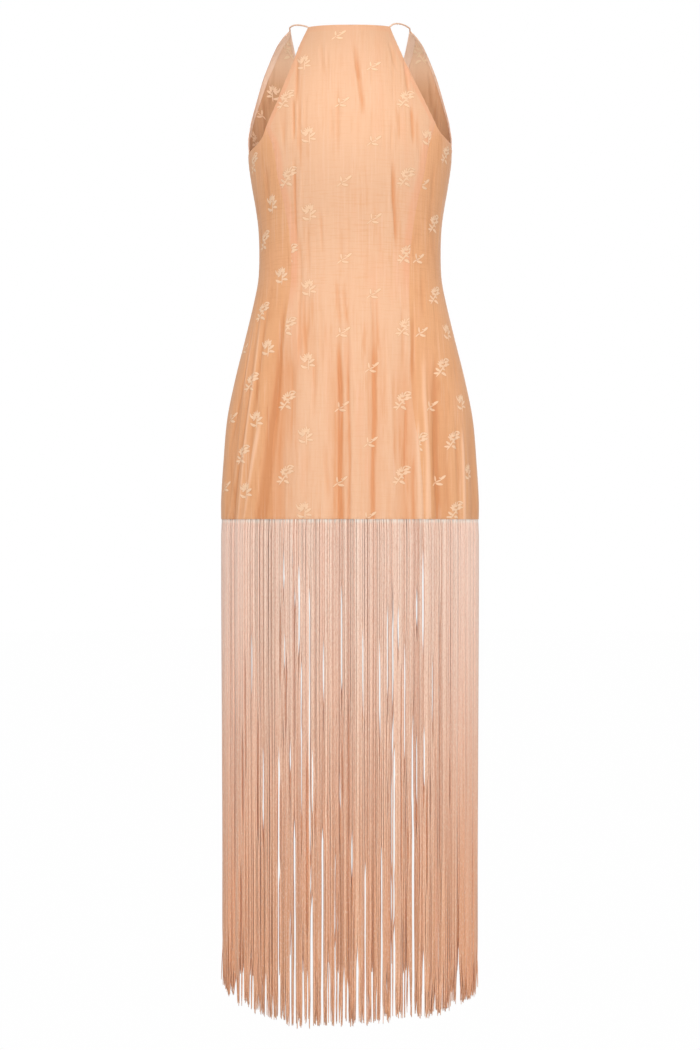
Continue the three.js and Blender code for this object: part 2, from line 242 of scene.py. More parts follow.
# Creases pulled or pressed into the front: distance from the centre line and height of the top,
# then of the foot, half width to the left and to the right, and depth, all in millimetres. A
# depth below 0 is a ridge. A narrow half on one side makes a crease that is sharp on that side.
FRONT_CREASES = [
    # neck to bust
    (5, -40, 17, -166, 4, 6, 1.5),
    (8, -76, 13, -112, 3, 4, 0.9),
    (17, -128, 18, -162, 3, 4, 0.6),
    (-38, -46, -36, -104, 5, 4, 0.7),
    (-31, -58, -28, -100, 3, 4, 0.4),
    (-14, -62, -14, -98, 4, 5, 0.5),
    (28, -78, 29, -124, 4, 4, 0.5),
    (45, -96, 46, -240, 5, 3, 0.4),
    (51, -40, 62, -96, 4, 6, 0.9),
    (-25, -150, -22, -230, 5, 5, 0.3),
    (2, -150, 3, -190, 4, 4, 0.4),
    (-58, -118, -57, -190, 6, 3, 0.4),
    # beside the armholes and down to the waist
    (-71, -58, -73, -150, 3, 6, 1.8),
    (-75, -120, -75, -200, 3, 3, 2.0),
    (-66, -84, -68, -190, 3, 4, 0.6),
    (-88, -128, -88, -200, 4, 5, 0.7),
    (73, -62, 80, -134, 3, 6, 1.6),
    (71, -66, 75, -120, 3, 3, 0.5),
    (81, -136, 85, -198, 5, 4, 1.9),
    (88, -146, 93, -222, 5, 7, 0.7),
    (66, -142, 66, -200, 4, 5, 0.5),
    # waist
    (56, -206, 62, -346, 3, 6, 2.1),
    (64, -236, 66, -320, 3, 3, 0.7),
    (50, -226, 52, -300, 4, 3, -0.5),
    (-73, -196, -73, -350, 4, 3, 1.8),
    (-66, -214, -67, -300, 3, 4, -0.5),
    (-80, -226, -77, -340, 3, 3, 0.5),
    (-39, -276, -37, -350, 4, 4, 0.9),
    (-55, -288, -55, -372, 4, 4, 0.8),
    (-47, -296, -45, -356, 3, 3, 0.3),
    (-12, -290, -12, -370, 4, 4, 0.5),
    (-66, -308, -66, -420, 4, 4, 0.8),
    (18, -280, 16, -366, 5, 4, 0.4),
    (40, -300, 38, -372, 4, 5, 0.4),
    (76, -300, 74, -400, 4, 4, 0.5),
    # skirt, left of the middle
    (-67, -374, -70, -500, 3, 5, 1.1),
    (-61, -378, -63, -470, 3, 4, 0.9),
    (-56, -384, -57, -462, 4, 3, 0.7),
    (-59, -424, -62, -500, 4, 4, 1.0),
    (-79, -466, -80, -610, 3, 3, 1.0),
    (-74, -474, -75, -590, 3, 4, 0.7),
    (-47, -464, -48, -566, 4, 5, 0.9),
    (-38, -396, -37, -500, 4, 4, 0.5),
    (-26, -416, -26, -510, 4, 4, 0.5),
    (-33, -586, -29, -676, 5, 4, 0.8),
    (-58, -560, -56, -640, 4, 6, 0.5),
    # the double fold just left of the middle
    (-19, -366, -13, -450, 4, 4, 1.1),
    (-9, -372, -4, -440, 4, 4, 1.0),
    (-15, -424, -13, -700, 4, 5, 2.4),
    (-2, -424, -1, -700, 3, 3, 1.5),
    (-8, -440, -7, -700, 3, 3, -0.5),
    (-20, -520, -20, -700, 3, 3, 0.5),
    # skirt, right of the middle
    (27, -378, 31, -460, 3, 4, 0.9),
    (36, -382, 37, -470, 3, 3, 0.8),
    (33, -420, 31, -700, 4, 5, 1.9),
    (26, -470, 25, -600, 3, 3, 0.5),
    (15, -560, 14, -700, 4, 4, 0.5),
    (48, -420, 48, -520, 4, 4, 0.5),
    (59, -480, 60, -640, 4, 4, 0.7),
    (70, -400, 70, -500, 4, 4, 1.0),
    (76, -520, 75, -660, 3, 2.5, 1.8),
    (83, -404, 86, -520, 5, 4, 1.6),
    (50, -610, 52, -700, 5, 4, 0.6),
    # the left princess seam's fold, which fans out to the hem
    (-84, -372, -108, -600, 7, 4, 1.6),
    (-94, -480, -120, -700, 9, 8, 1.7),
    (-104, -540, -128, -700, 6, 6, 1.2),
    (-118, -540, -146, -700, 7, 7, -1.2),
    (-88, -560, -86, -700, 4, 4, -0.6),
    # left side front
    (-113, -205, -110, -300, 7, 6, 0.9),
    (-128, -230, -119, -340, 5, 6, 0.6),
    (-112, -390, -146, -700, 5, 5, 1.2),
    (-116, -376, -154, -700, 4, 4, -1.0),
    (-120, -386, -162, -700, 4, 5, 1.2),
    (-124, -366, -168, -700, 3, 4, -0.9),
    (-127, -400, -172, -640, 4, 4, 0.9),
    (-106, -360, -122, -480, 4, 4, 0.6),
    (-132, -190, -124, -280, 4, 5, -0.5),
    # the right princess seam's fold and right side front
    (92, -540, 93, -700, 4, 4, -1.8),
    (86, -600, 87, -700, 3, 3, 1.4),
    (99, -440, 106, -700, 8, 9, -1.6),
    (113, -450, 118, -700, 4, 8, 2.1),
    (126, -470, 134, -700, 7, 7, 0.7),
    (151, -560, 156, -700, 4, 5, -1.8),
    (145, -540, 147, -700, 5, 3, 1.2),
    (114, -200, 108, -330, 6, 7, 0.8),
    (128, -230, 120, -340, 5, 5, -0.6),
    (97, -350, 99, -430, 5, 6, 0.8),
]


def lerp(a, b, t):
    return a + (b - a) * t


def eased(value, start, end):
    """0 before start, 1 after end and a soft rise between them."""
    t = np.clip((value - start) / (end - start), 0, 1)
    return t * t * (3 - 2 * t)


def column(rows, index, z):
    """Smooth curve through one column of a table whose rows run downwards, at the heights z."""
    heights, values = rows[::-1, 0], rows[::-1, index]
    z = np.clip(z, heights[0], heights[-1])
    last = len(heights) - 1
    i = np.clip(np.searchsorted(heights, z, side="right") - 1, 0, last - 1)
    before = np.maximum(np.arange(last + 1) - 1, 0)
    after = np.minimum(np.arange(last + 1) + 1, last)
    slopes = (values[after] - values[before]) / (heights[after] - heights[before])
    span = heights[i + 1] - heights[i]
    t = (z - heights[i]) / span
    rise = lerp(values[i], values[i + 1], t * t * (3 - 2 * t))
    return rise + t * (1 - t) * span * ((1 - t) * slopes[i] - t * slopes[i + 1])


def angle_at(face, x, z):
    """Angle from centre front at which the form is x from the centre plane."""
    share = np.minimum(np.abs(x) / column(FORM, HALF_WIDTH[face], z), 1)
    ahead = column(FORM, DEPTH[face], z) * (1 - share**SQUARENESS) ** (1 / SQUARENESS)
    return np.arctan2(x, ahead if face == "front" else -ahead)


def form_radius(face, angle, z):
    across = np.abs(np.sin(angle)) / column(FORM, HALF_WIDTH[face], z)
    ahead = np.abs(np.cos(angle)) / column(FORM, DEPTH[face], z)
    return (across**SQUARENESS + ahead**SQUARENESS) ** (-1 / SQUARENESS)


def fold_depth(angle, z, radius):
    """How far the broad folds press the cloth in."""
    pressed = np.zeros_like(radius)
    for top, foot, start, end, reach, depth in FOLDS:
        t = np.clip((top * MM - z) / ((top - foot) * MM), 0, 1)
        line = np.radians(lerp(start, end, t))
        turn = np.arctan2(np.sin(angle - line), np.cos(angle - line))
        aside = np.minimum(np.abs(turn) * radius / (reach * MM), 1)
        begun = eased(top * MM - z, 0, FOLD_FADE)
        ended = eased(z - foot * MM, 0, FOLD_FADE) if foot * MM > HEM_Z + MM else 1
        pressed += depth * MM * np.cos(aside * math.pi / 2) ** 2 * begun * ended
    return pressed


def form_point(face, angle, z):
    radius = form_radius(face, angle, z)
    radius = radius - fold_depth(angle, z, radius)
    return np.stack([radius * np.sin(angle), -radius * np.cos(angle), z], axis=-1)


def form_normal(face, angle, z):
    turn, rise = 0.004, 0.5 * MM
    around = form_point(face, angle + turn, z) - form_point(face, angle - turn, z)
    upwards = form_point(face, angle, z + rise) - form_point(face, angle, z - rise)
    normal = np.cross(around, upwards)
    return normal / np.linalg.norm(normal, axis=-1, keepdims=True)


# Girth is measured along the form from centre front, or from centre back on the back, positive
# towards +X. It is worked out once on a fine net of angles and heights, then read between them.
NET_ANGLES = np.linspace(0, math.radians(100), 201)
NET_HEIGHTS = np.linspace(HEM_Z - 10 * MM, 10 * MM, 160)


def girth_net(face):
    angle, z = np.meshgrid(NET_ANGLES, NET_HEIGHTS)
    radius = form_radius(face, angle if face == "front" else math.pi - angle, z)
    steps = np.hypot(np.diff(radius, axis=1), radius[:, :-1] * np.diff(NET_ANGLES))
    return np.concatenate([np.zeros((len(NET_HEIGHTS), 1)), np.cumsum(steps, axis=1)], axis=1)


GIRTHS = {face: girth_net(face) for face in ("front", "back")}


def girth(face, angle, z):
    side = np.where(angle < 0, -1, 1)
    turn = np.abs(angle) if face == "front" else math.pi - np.abs(angle)
    i = np.interp(turn, NET_ANGLES, np.arange(len(NET_ANGLES)))
    k = np.interp(z, NET_HEIGHTS, np.arange(len(NET_HEIGHTS)))
    i0 = np.minimum(i.astype(int), len(NET_ANGLES) - 2)
    k0 = np.minimum(k.astype(int), len(NET_HEIGHTS) - 2)
    net = GIRTHS[face]
    low = lerp(net[k0, i0], net[k0, i0 + 1], i - i0)
    high = lerp(net[k0 + 1, i0], net[k0 + 1, i0 + 1], i - i0)
    return side * lerp(low, high, k - k0)


def angle_of_girth(face, distance, z):
    """The angle that lies at a girth, found by halving."""
    side = np.where(distance < 0, -1, 1)
    low, high = np.zeros(len(z)), np.full(len(z), NET_ANGLES[-1])
    for _ in range(20):
        middle = (low + high) / 2
        there = girth(face, middle if face == "front" else math.pi - middle, z)
        short = there < np.abs(distance)
        low, high = np.where(short, middle, low), np.where(short, high, middle)
    return side * (low if face == "front" else math.pi - low)


def scattered(seed, count, half, top, foot):
    """Fine lengthwise creases of uneven place, length and depth, as rows of a crease table."""
    dice = np.random.default_rng(seed)
    rows = []
    for _ in range(count):
        x, start = dice.uniform(-half, half), dice.uniform(foot + 30, top)
        length, slant = dice.uniform(35, 130), dice.uniform(-3, 3)
        spread = 1 + 0.0006 * length * (1 if start < -330 else -1)
        reach, depth = dice.uniform(2, 5, 2), dice.uniform(-0.3, 0.5)
        rows.append((x, start, x * spread + slant, start - length, *reach, depth))
    return rows


CREASES = {"front": FRONT_CREASES + scattered(3, 200, 150, -40, -690)}
CREASE_WANDER = 0.8 * MM  # how far a crease strays from its straight line
WANDER_PITCH = 31 * MM
WANDER_STEP = 2.1  # of the wave's phase, from each crease to the next
CREASE_BEGUN = 0.3  # shares of its length at which a crease is full and starts to end
CREASE_ENDS = 0.65
SEAM_CALM = 9 * MM  # creases die out this far from the side seams
SIDE_RADIUS = 140 * MM  # of the form near the side seams


def crease_depth(face, angle, z):
    """How far the creases press the cloth in at a place."""
    pressed = np.zeros_like(z)
    distance = girth(face, angle, z)
    heights = np.linspace(HEM_Z - 10 * MM, 10 * MM, 240)
    for number, (x0, z0, x1, z1, left, right, depth) in enumerate(CREASES[face]):
        x = lerp(x0, x1, (z0 * MM - heights) / ((z0 - z1) * MM)) * MM
        wander = CREASE_WANDER * np.sin(heights / WANDER_PITCH + WANDER_STEP * number)
        line = np.interp(z, heights, girth(face, angle_at(face, x + wander, heights), heights))
        t = (z0 * MM - z) / ((z0 - z1) * MM)
        aside = distance - line
        reach = np.where(aside < 0, left * MM, right * MM)
        across = np.cos(np.minimum(np.abs(aside) / reach, 1) * math.pi / 2) ** 2
        ended = 1 - eased(t, CREASE_ENDS, 1) if z1 * MM > HEM_Z else 1
        pressed += depth * MM * across * eased(t, 0, CREASE_BEGUN) * ended
    turn = SIDE_SEAM - (np.abs(angle) if face == "front" else math.pi - np.abs(angle))
    return pressed * eased(turn * SIDE_RADIUS, 0, SEAM_CALM)


TURN_WIDTH = 2.5 * MM  # the curve of a turned edge or of a seam's valley
TURN_DEPTH = 0.3 * MM
RIPPLE_DEPTH = 0.2 * MM  # of the puckers beside a seam, their pitch and how far they reach
RIPPLE_PITCH = 9 * MM
RIPPLE_REACH = 7 * MM
HEM_STITCH = 9 * MM  # height of the stitching that holds hem and fringe
STITCH_DEPTH = 0.12 * MM
STITCH_WIDTH = 1.2 * MM
PUCKER_DEPTH = 0.9 * MM
PUCKER_PITCH = 7.4 * MM
TURNING = 10 * MM  # width turned in along the neck and armhole edges
TURNING_INNER = TURNING - 3 * MM
TURNED_ABOVE = -190 * MM, -165 * MM
ALLOWANCE_OUTER = TURNING + 5 * MM
ALLOWANCE_ABOVE = -430 * MM, -340 * MM  # a seam's turnings show as a warmer band above this


def seam_press(from_edge, along):
    """The cloth curves in at a seam or turned edge, and puckers a little beside it."""
    curve = np.clip(1 - from_edge / TURN_WIDTH, 0, 1) ** 2 * TURN_DEPTH
    ripple = np.sin(2 * math.pi * along / RIPPLE_PITCH) * np.sin(along / (23 * MM) + 1)
    return curve + RIPPLE_DEPTH * ripple * np.exp(-from_edge / RIPPLE_REACH)


def hem_press(distance, z):
    """Short upright puckers that run up from the hem's stitching, and the turned lower edge. Waves
    of uneven pitch keep the puckers from repeating."""
    above = z - HEM_Z
    curve = np.clip(1 - above / TURN_WIDTH, 0, 1) ** 2 * TURN_DEPTH
    wander = 2.2 * np.sin(distance / (19 * MM)) + 1.3 * np.sin(distance / (7 * MM) + 1)
    strength = 0.55 + 0.45 * np.sin(distance / (26 * MM) + 4)
    length = (6 + 4 * np.sin(distance / (4.1 * MM))) * MM
    tuck = np.maximum(np.sin(2 * math.pi * distance / PUCKER_PITCH + wander), 0) ** 1.5
    pucker = PUCKER_DEPTH * tuck * strength * np.exp(-above / length)
    stitch = STITCH_DEPTH * np.exp(-(((above - HEM_STITCH) / STITCH_WIDTH) ** 2))
    return curve + pucker + stitch


class Panel:
    """A cut piece on the form. edges(z) gives the angles of its two long edges, top(angle) the
    height of its upper edge, and place(share, down) the angle and height of a point of its grid.
    allowance is how plainly the turnings of its long seams show through."""

    def __init__(self, name, face, edges, top, place, allowance=0.0):
        self.name, self.face, self.allowance = name, face, allowance
        self.edges, self.top, self.place = edges, top, place

    def press(self, angle, z):
        distance = girth(self.face, angle, z)
        first, second = self.edges(z)
        from_edge = np.minimum(
            np.abs(distance - girth(self.face, first, z)),
            np.abs(distance - girth(self.face, second, z)),
        )
        from_edge = np.minimum(from_edge, np.maximum(self.top(angle) - z, 0))
        hem = hem_press(distance, z)
        creased = crease_depth(self.face, angle, z)
        turned = (1 - eased(from_edge, TURNING_INNER, TURNING)) * eased(z, *TURNED_ABOVE)
        beside_seam = (1 - eased(from_edge, TURNING_INNER, ALLOWANCE_OUTER)) * eased(z, *ALLOWANCE_ABOVE)
        turned += self.allowance * beside_seam * (1 - eased(z, *TURNED_ABOVE))
        return creased + hem, creased + hem + seam_press(from_edge, z), turned

    def points(self, angle, z, proud=0.0):
        """Points on the outer face, or proud of it, how deeply each is creased, and whether it
        lies over the turning of a neck or armhole edge."""
        creased, pressed, turned = self.press(angle, z)
        place = form_point(self.face, angle, z)
        lift = np.asarray(proud - pressed)[:, None]
        radius = form_radius(self.face, angle, z)
        # The broad folds count a third of their depth here, so that they get the painted shade of the
        # creases too.
        creased = creased + fold_depth(angle, z, radius) / 3
        return place + form_normal(self.face, angle, z) * lift, creased, turned

    def flat_size(self):
        """Width at the widest, length at the longest and area, as the piece is cut."""
        columns, rows = 41, 161
        share, down = np.meshgrid(np.linspace(0, 1, columns), np.linspace(0, 1, rows))
        angle, z = self.place(share.ravel(), down.ravel())
        points = form_point(self.face, angle, z).reshape(rows, columns, 3)
        across = np.linalg.norm(np.diff(points, axis=1), axis=2)
        along = np.linalg.norm(np.diff(points, axis=0), axis=2)
        area = float((across[:-1] * along[:, :-1]).sum())
        return float(across.sum(axis=1).max()), float(along.sum(axis=0).max()), area


def coordinates(mesh):
    flat = np.empty(len(mesh.vertices) * 3)
    mesh.vertices.foreach_get("co", flat)
    return flat.reshape(-1, 3)


def finished(name, mesh, points, uv, values):
    """Piece with its vertices put in place, its UV map in metres and its named attributes."""
    mesh.vertices.foreach_set("co", np.asarray(points, np.float32).ravel())
    corners = np.empty(len(mesh.loops), np.int32)
    mesh.loops.foreach_get("vertex_index", corners)
    if uv is not None:
        grain = mesh.uv_layers.new(name="grain")
        grain.data.foreach_set("uv", np.asarray(uv, np.float32)[corners].ravel())
    for key, value in values.items():
        attribute = mesh.attributes.new(key, "FLOAT", "POINT")
        attribute.data.foreach_set("value", np.asarray(value, np.float32))
    mesh.polygons.foreach_set("use_smooth", [True] * len(mesh.polygons))
    mesh.update()
    piece = bpy.data.objects.new(name, mesh)
    bpy.context.collection.objects.link(piece)
    return piece


def thickened(piece, thickness, reverse=0):
    """A wall inwards from the outer face. Its inner face takes a later material if it has one."""
    wall = piece.modifiers.new("thickness", "SOLIDIFY")
    wall.thickness = thickness
    wall.offset = -1
    wall.material_offset = reverse
    return piece


def sharp_border(bm):
    """The cut edge of a cloth stays sharp, so that its wall does not shade the face round it."""
    for edge in bm.edges:
        edge.smooth = not edge.is_boundary


def lay_cloth(panel, columns, rows, proud=0.0, thickness=CLOTH):
    """A panel's cloth: a grid laid on the form, UVs on its grain, and a thickness inwards."""
    bm = bmesh.new()
    bmesh.ops.create_grid(bm, x_segments=columns, y_segments=rows, size=0.5)
    sharp_border(bm)
    mesh = mesh_from(bm, f"{panel.name}_cloth")
    net = coordinates(mesh)
    angle, z = panel.place(net[:, 0] + 0.5, 0.5 - net[:, 1])
    points, creased, turned = panel.points(angle, z, proud)
    uv = np.stack([girth(panel.face, angle, z), z], axis=1)
    piece = finished(mesh.name, mesh, points, uv, {"creased": creased / MM, "turned": turned})
    return thickened(piece, thickness, 1)


class Value:
    """A socket that takes part in sums: each operator adds the Math node it stands for."""

    def __init__(self, finish, socket):
        self.finish, self.socket = finish, socket

    def maths(self, operation, a, b):
        return self.finish.node("ShaderNodeMath", {"operation": operation}, {0: a, 1: b})

    def __add__(self, other):
        return self.maths("ADD", self, other)

    def __sub__(self, other):
        return self.maths("SUBTRACT", self, other)

    def __rsub__(self, other):
        return self.maths("SUBTRACT", other, self)

    def __mul__(self, other):
        return self.maths("MULTIPLY", self, other)

    __radd__ = __add__
    __rmul__ = __mul__


class Finish:
    """A material as it is made up. node() adds any node and gives one of its outputs."""

    def __init__(self, name):
        self.material = bpy.data.materials.new(name)
        self.material.use_nodes = True
        self.tree = self.material.node_tree
        self.tree.nodes.clear()

    def node(self, kind, settings=None, sockets=None, output=0):
        node = self.tree.nodes.new(kind)
        for key, value in (settings or {}).items():
            setattr(node, key, value)
        for key, value in (sockets or {}).items():
            if isinstance(value, Value):
                self.tree.links.new(value.socket, node.inputs[key])
            else:
                node.inputs[key].default_value = value
        return Value(self, node.outputs[output]) if node.outputs else None

    def attribute(self, name):
        return self.node("ShaderNodeAttribute", {"attribute_name": name}, {}, "Fac")

    def grain(self):
        return self.node("ShaderNodeUVMap", {"uv_map": "grain"})

    def place(self):
        return self.node("ShaderNodeTexCoord", {}, {}, "Object")

    def height(self):
        return self.node("ShaderNodeSeparateXYZ", {}, {"Vector": self.place()}, "Z")

    def mix(self, share, a, b):
        return self.node("ShaderNodeMix", {"data_type": "RGBA"}, {0: share, 6: a, 7: b}, 2)

    def between(self, value, low, high):
        """0 at low, 1 at high, soft between and level outside."""
        sockets = {"Value": value, "From Min": low, "From Max": high}
        return self.node("ShaderNodeMapRange", {"interpolation_type": "SMOOTHSTEP"}, sockets)

    def noise(self, vector, scale, detail=2.0, roughness=0.5):
        """Noise stretched by a scale along each axis."""
        mapped = self.node("ShaderNodeMapping", {}, {"Vector": vector, "Scale": scale})
        sockets = {"Vector": mapped, "Scale": 1.0, "Detail": detail, "Roughness": roughness}
        return self.node("ShaderNodeTexNoise", {}, sockets, "Fac")

    def bands(self, vector, direction, scale, distortion=0.4):
        settings = {"wave_type": "BANDS", "bands_direction": direction}
        sockets = {"Vector": vector, "Scale": scale, "Distortion": distortion, "Detail": 1.0}
        return self.node("ShaderNodeTexWave", settings, sockets, "Fac")

    def bump(self, height, strength, distance):
        sockets = {"Strength": strength, "Distance": distance, "Height": height}
        return self.node("ShaderNodeBump", {}, sockets)

    def surface(self, sockets):
        shader = self.node("ShaderNodeBsdfPrincipled", {}, sockets)
        self.node("ShaderNodeOutputMaterial", {}, {"Surface": shader})
        return self.material


def satin(name, lit, crease_shade_and_thread, warm, streaks, painted_ridge_highlight, top=None):
    """Thin crinkled satin: fine weave, lengthwise crinkle and slubs, with painted shade in creases and
    crinkles, as a deeper colour, and a painted highlight on ridges and along fine sheen lines, as a
    paler one. top is painted shading towards the shoulders: the tone it takes on there, the height
    where that starts, and its share there. Scales are per metre, across the grain and along it."""
    finish = Finish(name)
    grain = finish.grain()
    height = finish.height()
    crinkle = finish.noise(grain, (260, 22, 1), 4.0, 0.6)
    ripple = finish.noise(grain, (38, 420, 1), 3.0, 0.55)
    cloud = finish.noise(grain, (34, 7, 1))
    streak = finish.between(finish.noise(grain, (170, 14, 1), 3.0, 0.6), 0.5, 0.68)
    thread = finish.between(finish.noise(grain, (480, 24, 1), 2.0), 0.5, 0.66)
    across = finish.between(finish.noise(grain, (34, 520, 1), 2.0), 0.5, 0.66)
    pale = finish.between(finish.noise(grain, (330, 12, 2), 2.0), 0.56, 0.68)
    waist = finish.between(height, -0.44, -0.34) * (1 - finish.between(height, -0.30, -0.2))
    weave = finish.bands(grain, "X", 900.0) + finish.bands(grain, "Y", 620.0)
    pulled = finish.between(finish.noise(grain, (19, 8, 3)), 0.42, 0.6)
    # Painted shade: the creases' depth, with crinkle and streak noise, mixes in the deeper colour where
    # shade would gather.
    depth = finish.attribute("creased") + (crinkle - 0.5) * 0.9 + streak * pulled * streaks
    tone = finish.mix(finish.between(depth, -0.5, 2.6), lit, crease_shade_and_thread)
    blush = finish.between(cloud, 0.52, 0.72) * 0.35 + finish.attribute("turned") * 0.7
    tone = finish.mix(blush, tone, warm)
    # Fine threads and the waist's crosswise crinkles take the deeper colour too: thread tone, and
    # painted shade in the crinkles.
    tone = finish.mix(thread * (pulled * 0.1 + 0.06) + across * (waist * 0.12 + 0.1), tone, crease_shade_and_thread)
    # Painted highlight: fine paler sheen lines along the grain.
    tone = finish.mix(pale * streaks * 0.16, tone, (0.90, 0.64, 0.48, 1))
    # Painted highlight: the ridges turn paler, as if they caught the light.
    ridge = finish.between(finish.attribute("creased") * -1, 0.1, 1.1)
    tone = finish.mix(ridge * painted_ridge_highlight, tone, (0.93, 0.58, 0.38, 1))
    # Painted shading by height towards the shoulders.
    if top:
        painted_top_shading, foot, share = top
        tone = finish.mix(finish.between(height, foot, 0) * share, tone, painted_top_shading)
    relief = crinkle * 0.8 + ripple * (0.35 + waist * 0.9) + thread * 0.3 + weave * 0.05
    return finish.surface({
        "Base Color": tone,
        "Roughness": crinkle * 0.12 + 0.44,
        "Specular IOR Level": 0.5,
        "Sheen Weight": 0.15,
        "Sheen Roughness": 0.4,
        "Sheen Tint": (1.0, 0.82, 0.68, 1),
        "Normal": finish.bump(relief, 0.6, 0.0006),
    })


front_satin = satin(
    "front_satin",
    lit=(0.808, 0.477, 0.29, 1),
    crease_shade_and_thread=(0.72, 0.30, 0.12, 1),
    warm=(0.82, 0.40, 0.225, 1),
    streaks=0.8,
    painted_ridge_highlight=0.32,
    # Painted shade: darker towards the neck, against the strong light from above there.
    top=((0.66, 0.37, 0.212, 1), -0.15, 0.65),
)
# The satin's reverse, on the inner face of every piece: a little deeper in colour, and darker still as
# painted shade, for the inside of the dress lies in shade.
shaded_reverse_satin = satin(
    "shaded_reverse_satin",
    lit=(0.65, 0.343, 0.175, 1),
    crease_shade_and_thread=(0.5, 0.215, 0.085, 1),
    warm=(0.65, 0.32, 0.16, 1),
    streaks=0.8,
    painted_ridge_highlight=0.32,
    # Painted light: much paler towards the tips, where light falls in from above.
    top=((1, 0.70, 0.48, 1), -0.08, 1.0),
)


def front_edge(side, z):
    """Angle of the front's armhole edge, and of the princess seam below it."""
    armhole = column(FRONT_ARMHOLE, SIDE_COLUMN[side], z)
    seam = column(PRINCESS, SIDE_COLUMN[side], z)
    return angle_at("front", SIGN[side] * np.where(z > PRINCESS_TOP[side], armhole, seam), z)


def neck_edge(angle):
    corner = angle_at("front", NECK_CORNER, NECK_Z)
    return NECK_Z + NECK_RISE * np.minimum(np.abs(angle) / corner, 1) ** 2


def front_centre_place(share, down):
    level = lerp(NECK_Z + NECK_RISE, HEM_Z, down)
    angle = lerp(front_edge("left", level), front_edge("right", level), share)
    drop = NECK_RISE * (1 - (2 * share - 1) ** 2)
    return angle, level - drop * np.clip(1 - down / NECK_SETTLES, 0, 1)


# The woven figure: three sprigs, each a list of petals, leaves and stems. A petal runs from its
# foot to its tip, in millimetres from the sprig's middle, then come its half width and its bow.
SPRIGS = {
    "rose": [
        (-5.2, 1.4, -11, 10.6, 1.4, 1.2),
        (0.5, 4.3, -8.8, 3.4, 1.9, 0.9),
        (-1.5, 3.2, -6.6, -0.2, 1.4, 0.3),
        (-1.2, 3.8, -9.4, 6.4, 1.2, 0.6),
        (-0.5, 4.6, -7.6, 8.8, 1.3, 0.2),
        (0.2, 5, -5.6, 11.8, 1.4, 0.4),
        (0.6, 5, -2, 12.6, 1.3, 0.2),
        (0.9, 5, 1.2, 14.4, 1.1, 0),
        (1.2, 5, 3.2, 11, 1.2, -0.2),
        (1.2, 4.8, 5.8, 11.8, 1.5, -0.4),
        (1, 4.4, 6, 7.4, 1.3, -0.4),
        (0.6, 4, 5.2, 4.6, 1.3, -0.4),
        (-4.6, 4.5, -4.2, 8.2, 0.9, 0),
        (1.2, 5, 0.5, -12.8, 1.1, 0.3),
        (1.4, -1.8, 10.2, 4.2, 2.3, 0.5),
        (1.6, -4, 10.8, -5.4, 2.0, 0.4),
        (0.8, -7.4, -10.6, -3.2, 2.2, 1.5),
    ],
    "spray": [
        (-1.5, 3, -9.6, 5.2, 1.7, 0.5),
        (-2, 4, -7.6, 8.6, 1.6, 0.4),
        (-1.5, 4.5, -4, 10.6, 1.5, 0.2),
        (-1, 5, -0.3, 13, 1.3, 0),
        (-6.8, 3.2, 4, 2, 1.9, -0.9),
        (-1.5, 5.2, 3.8, 8.4, 1.8, 0),
        (1.4, 8.4, 6.4, 13.8, 1.4, 0),
        (5.6, 13, 14, 10, 1.5, 0.6),
        (3, 7, 12.4, 9.6, 2.0, 0.3),
        (3.4, 5, 13.8, 5, 1.9, 0),
        (1.8, 3.2, 9.2, 3.2, 1.7, -0.4),
        (-6.4, 3, -4.2, -1, 1.1, 0),
        (-4.4, -4.6, 3.6, 0.8, 1.3, 0.3),
        (-0.5, -2.4, 4.6, -3.4, 1.2, 0.3),
        (1, 2, -11.8, -14, 1.2, 0.4),
        (-4.6, -5.8, -12, -1, 2.0, 0.4),
        (-5.6, -7.8, -15, -8.4, 1.7, 0.3),
        (-3.8, -7.4, 6, -11.2, 2.4, 0.9),
    ],
    "bud": [
        (-11.4, -8, -4, -2, 1.1, 0.3),
        (-4.9, -2, -5.8, 6.6, 1.6, 0.2),
        (-5.4, -3.8, 5.4, -5.8, 2.1, -0.3),
        (-5.2, -2.4, 3.4, 1.4, 1.1, -0.3),
        (1.2, 0.6, 9.2, 7, 2.1, 0.2),
        (-1, 3.4, 2.8, 2.4, 1.0, 0),
    ],
}
PETAL_ALONG = 7
PETAL_RISE = 0.5 * MM  # of a petal's middle above its edges
PETAL_EDGE = 0.04 * MM  # of its edges above the cloth
PAINTED_INSIDE_LIGHT = 0.9  # painted light: how much paler the inner face's sprigs are at the shoulder line
PALE_DEPTH = 110 * MM  # and how far below it that dies out

bm = bmesh.new()
bmesh.ops.create_grid(bm, x_segments=PETAL_ALONG, y_segments=2, size=0.5)
sharp_border(bm)
petal_mesh = mesh_from(bm, "petal")
petal_net = coordinates(petal_mesh)


def copies(mesh, count, name):
    """One new mesh that holds a mesh many times over, in the same place."""
    bm = bmesh.new()
    for _ in range(count):
        bm.from_mesh(mesh)
    return mesh_from(bm, name)


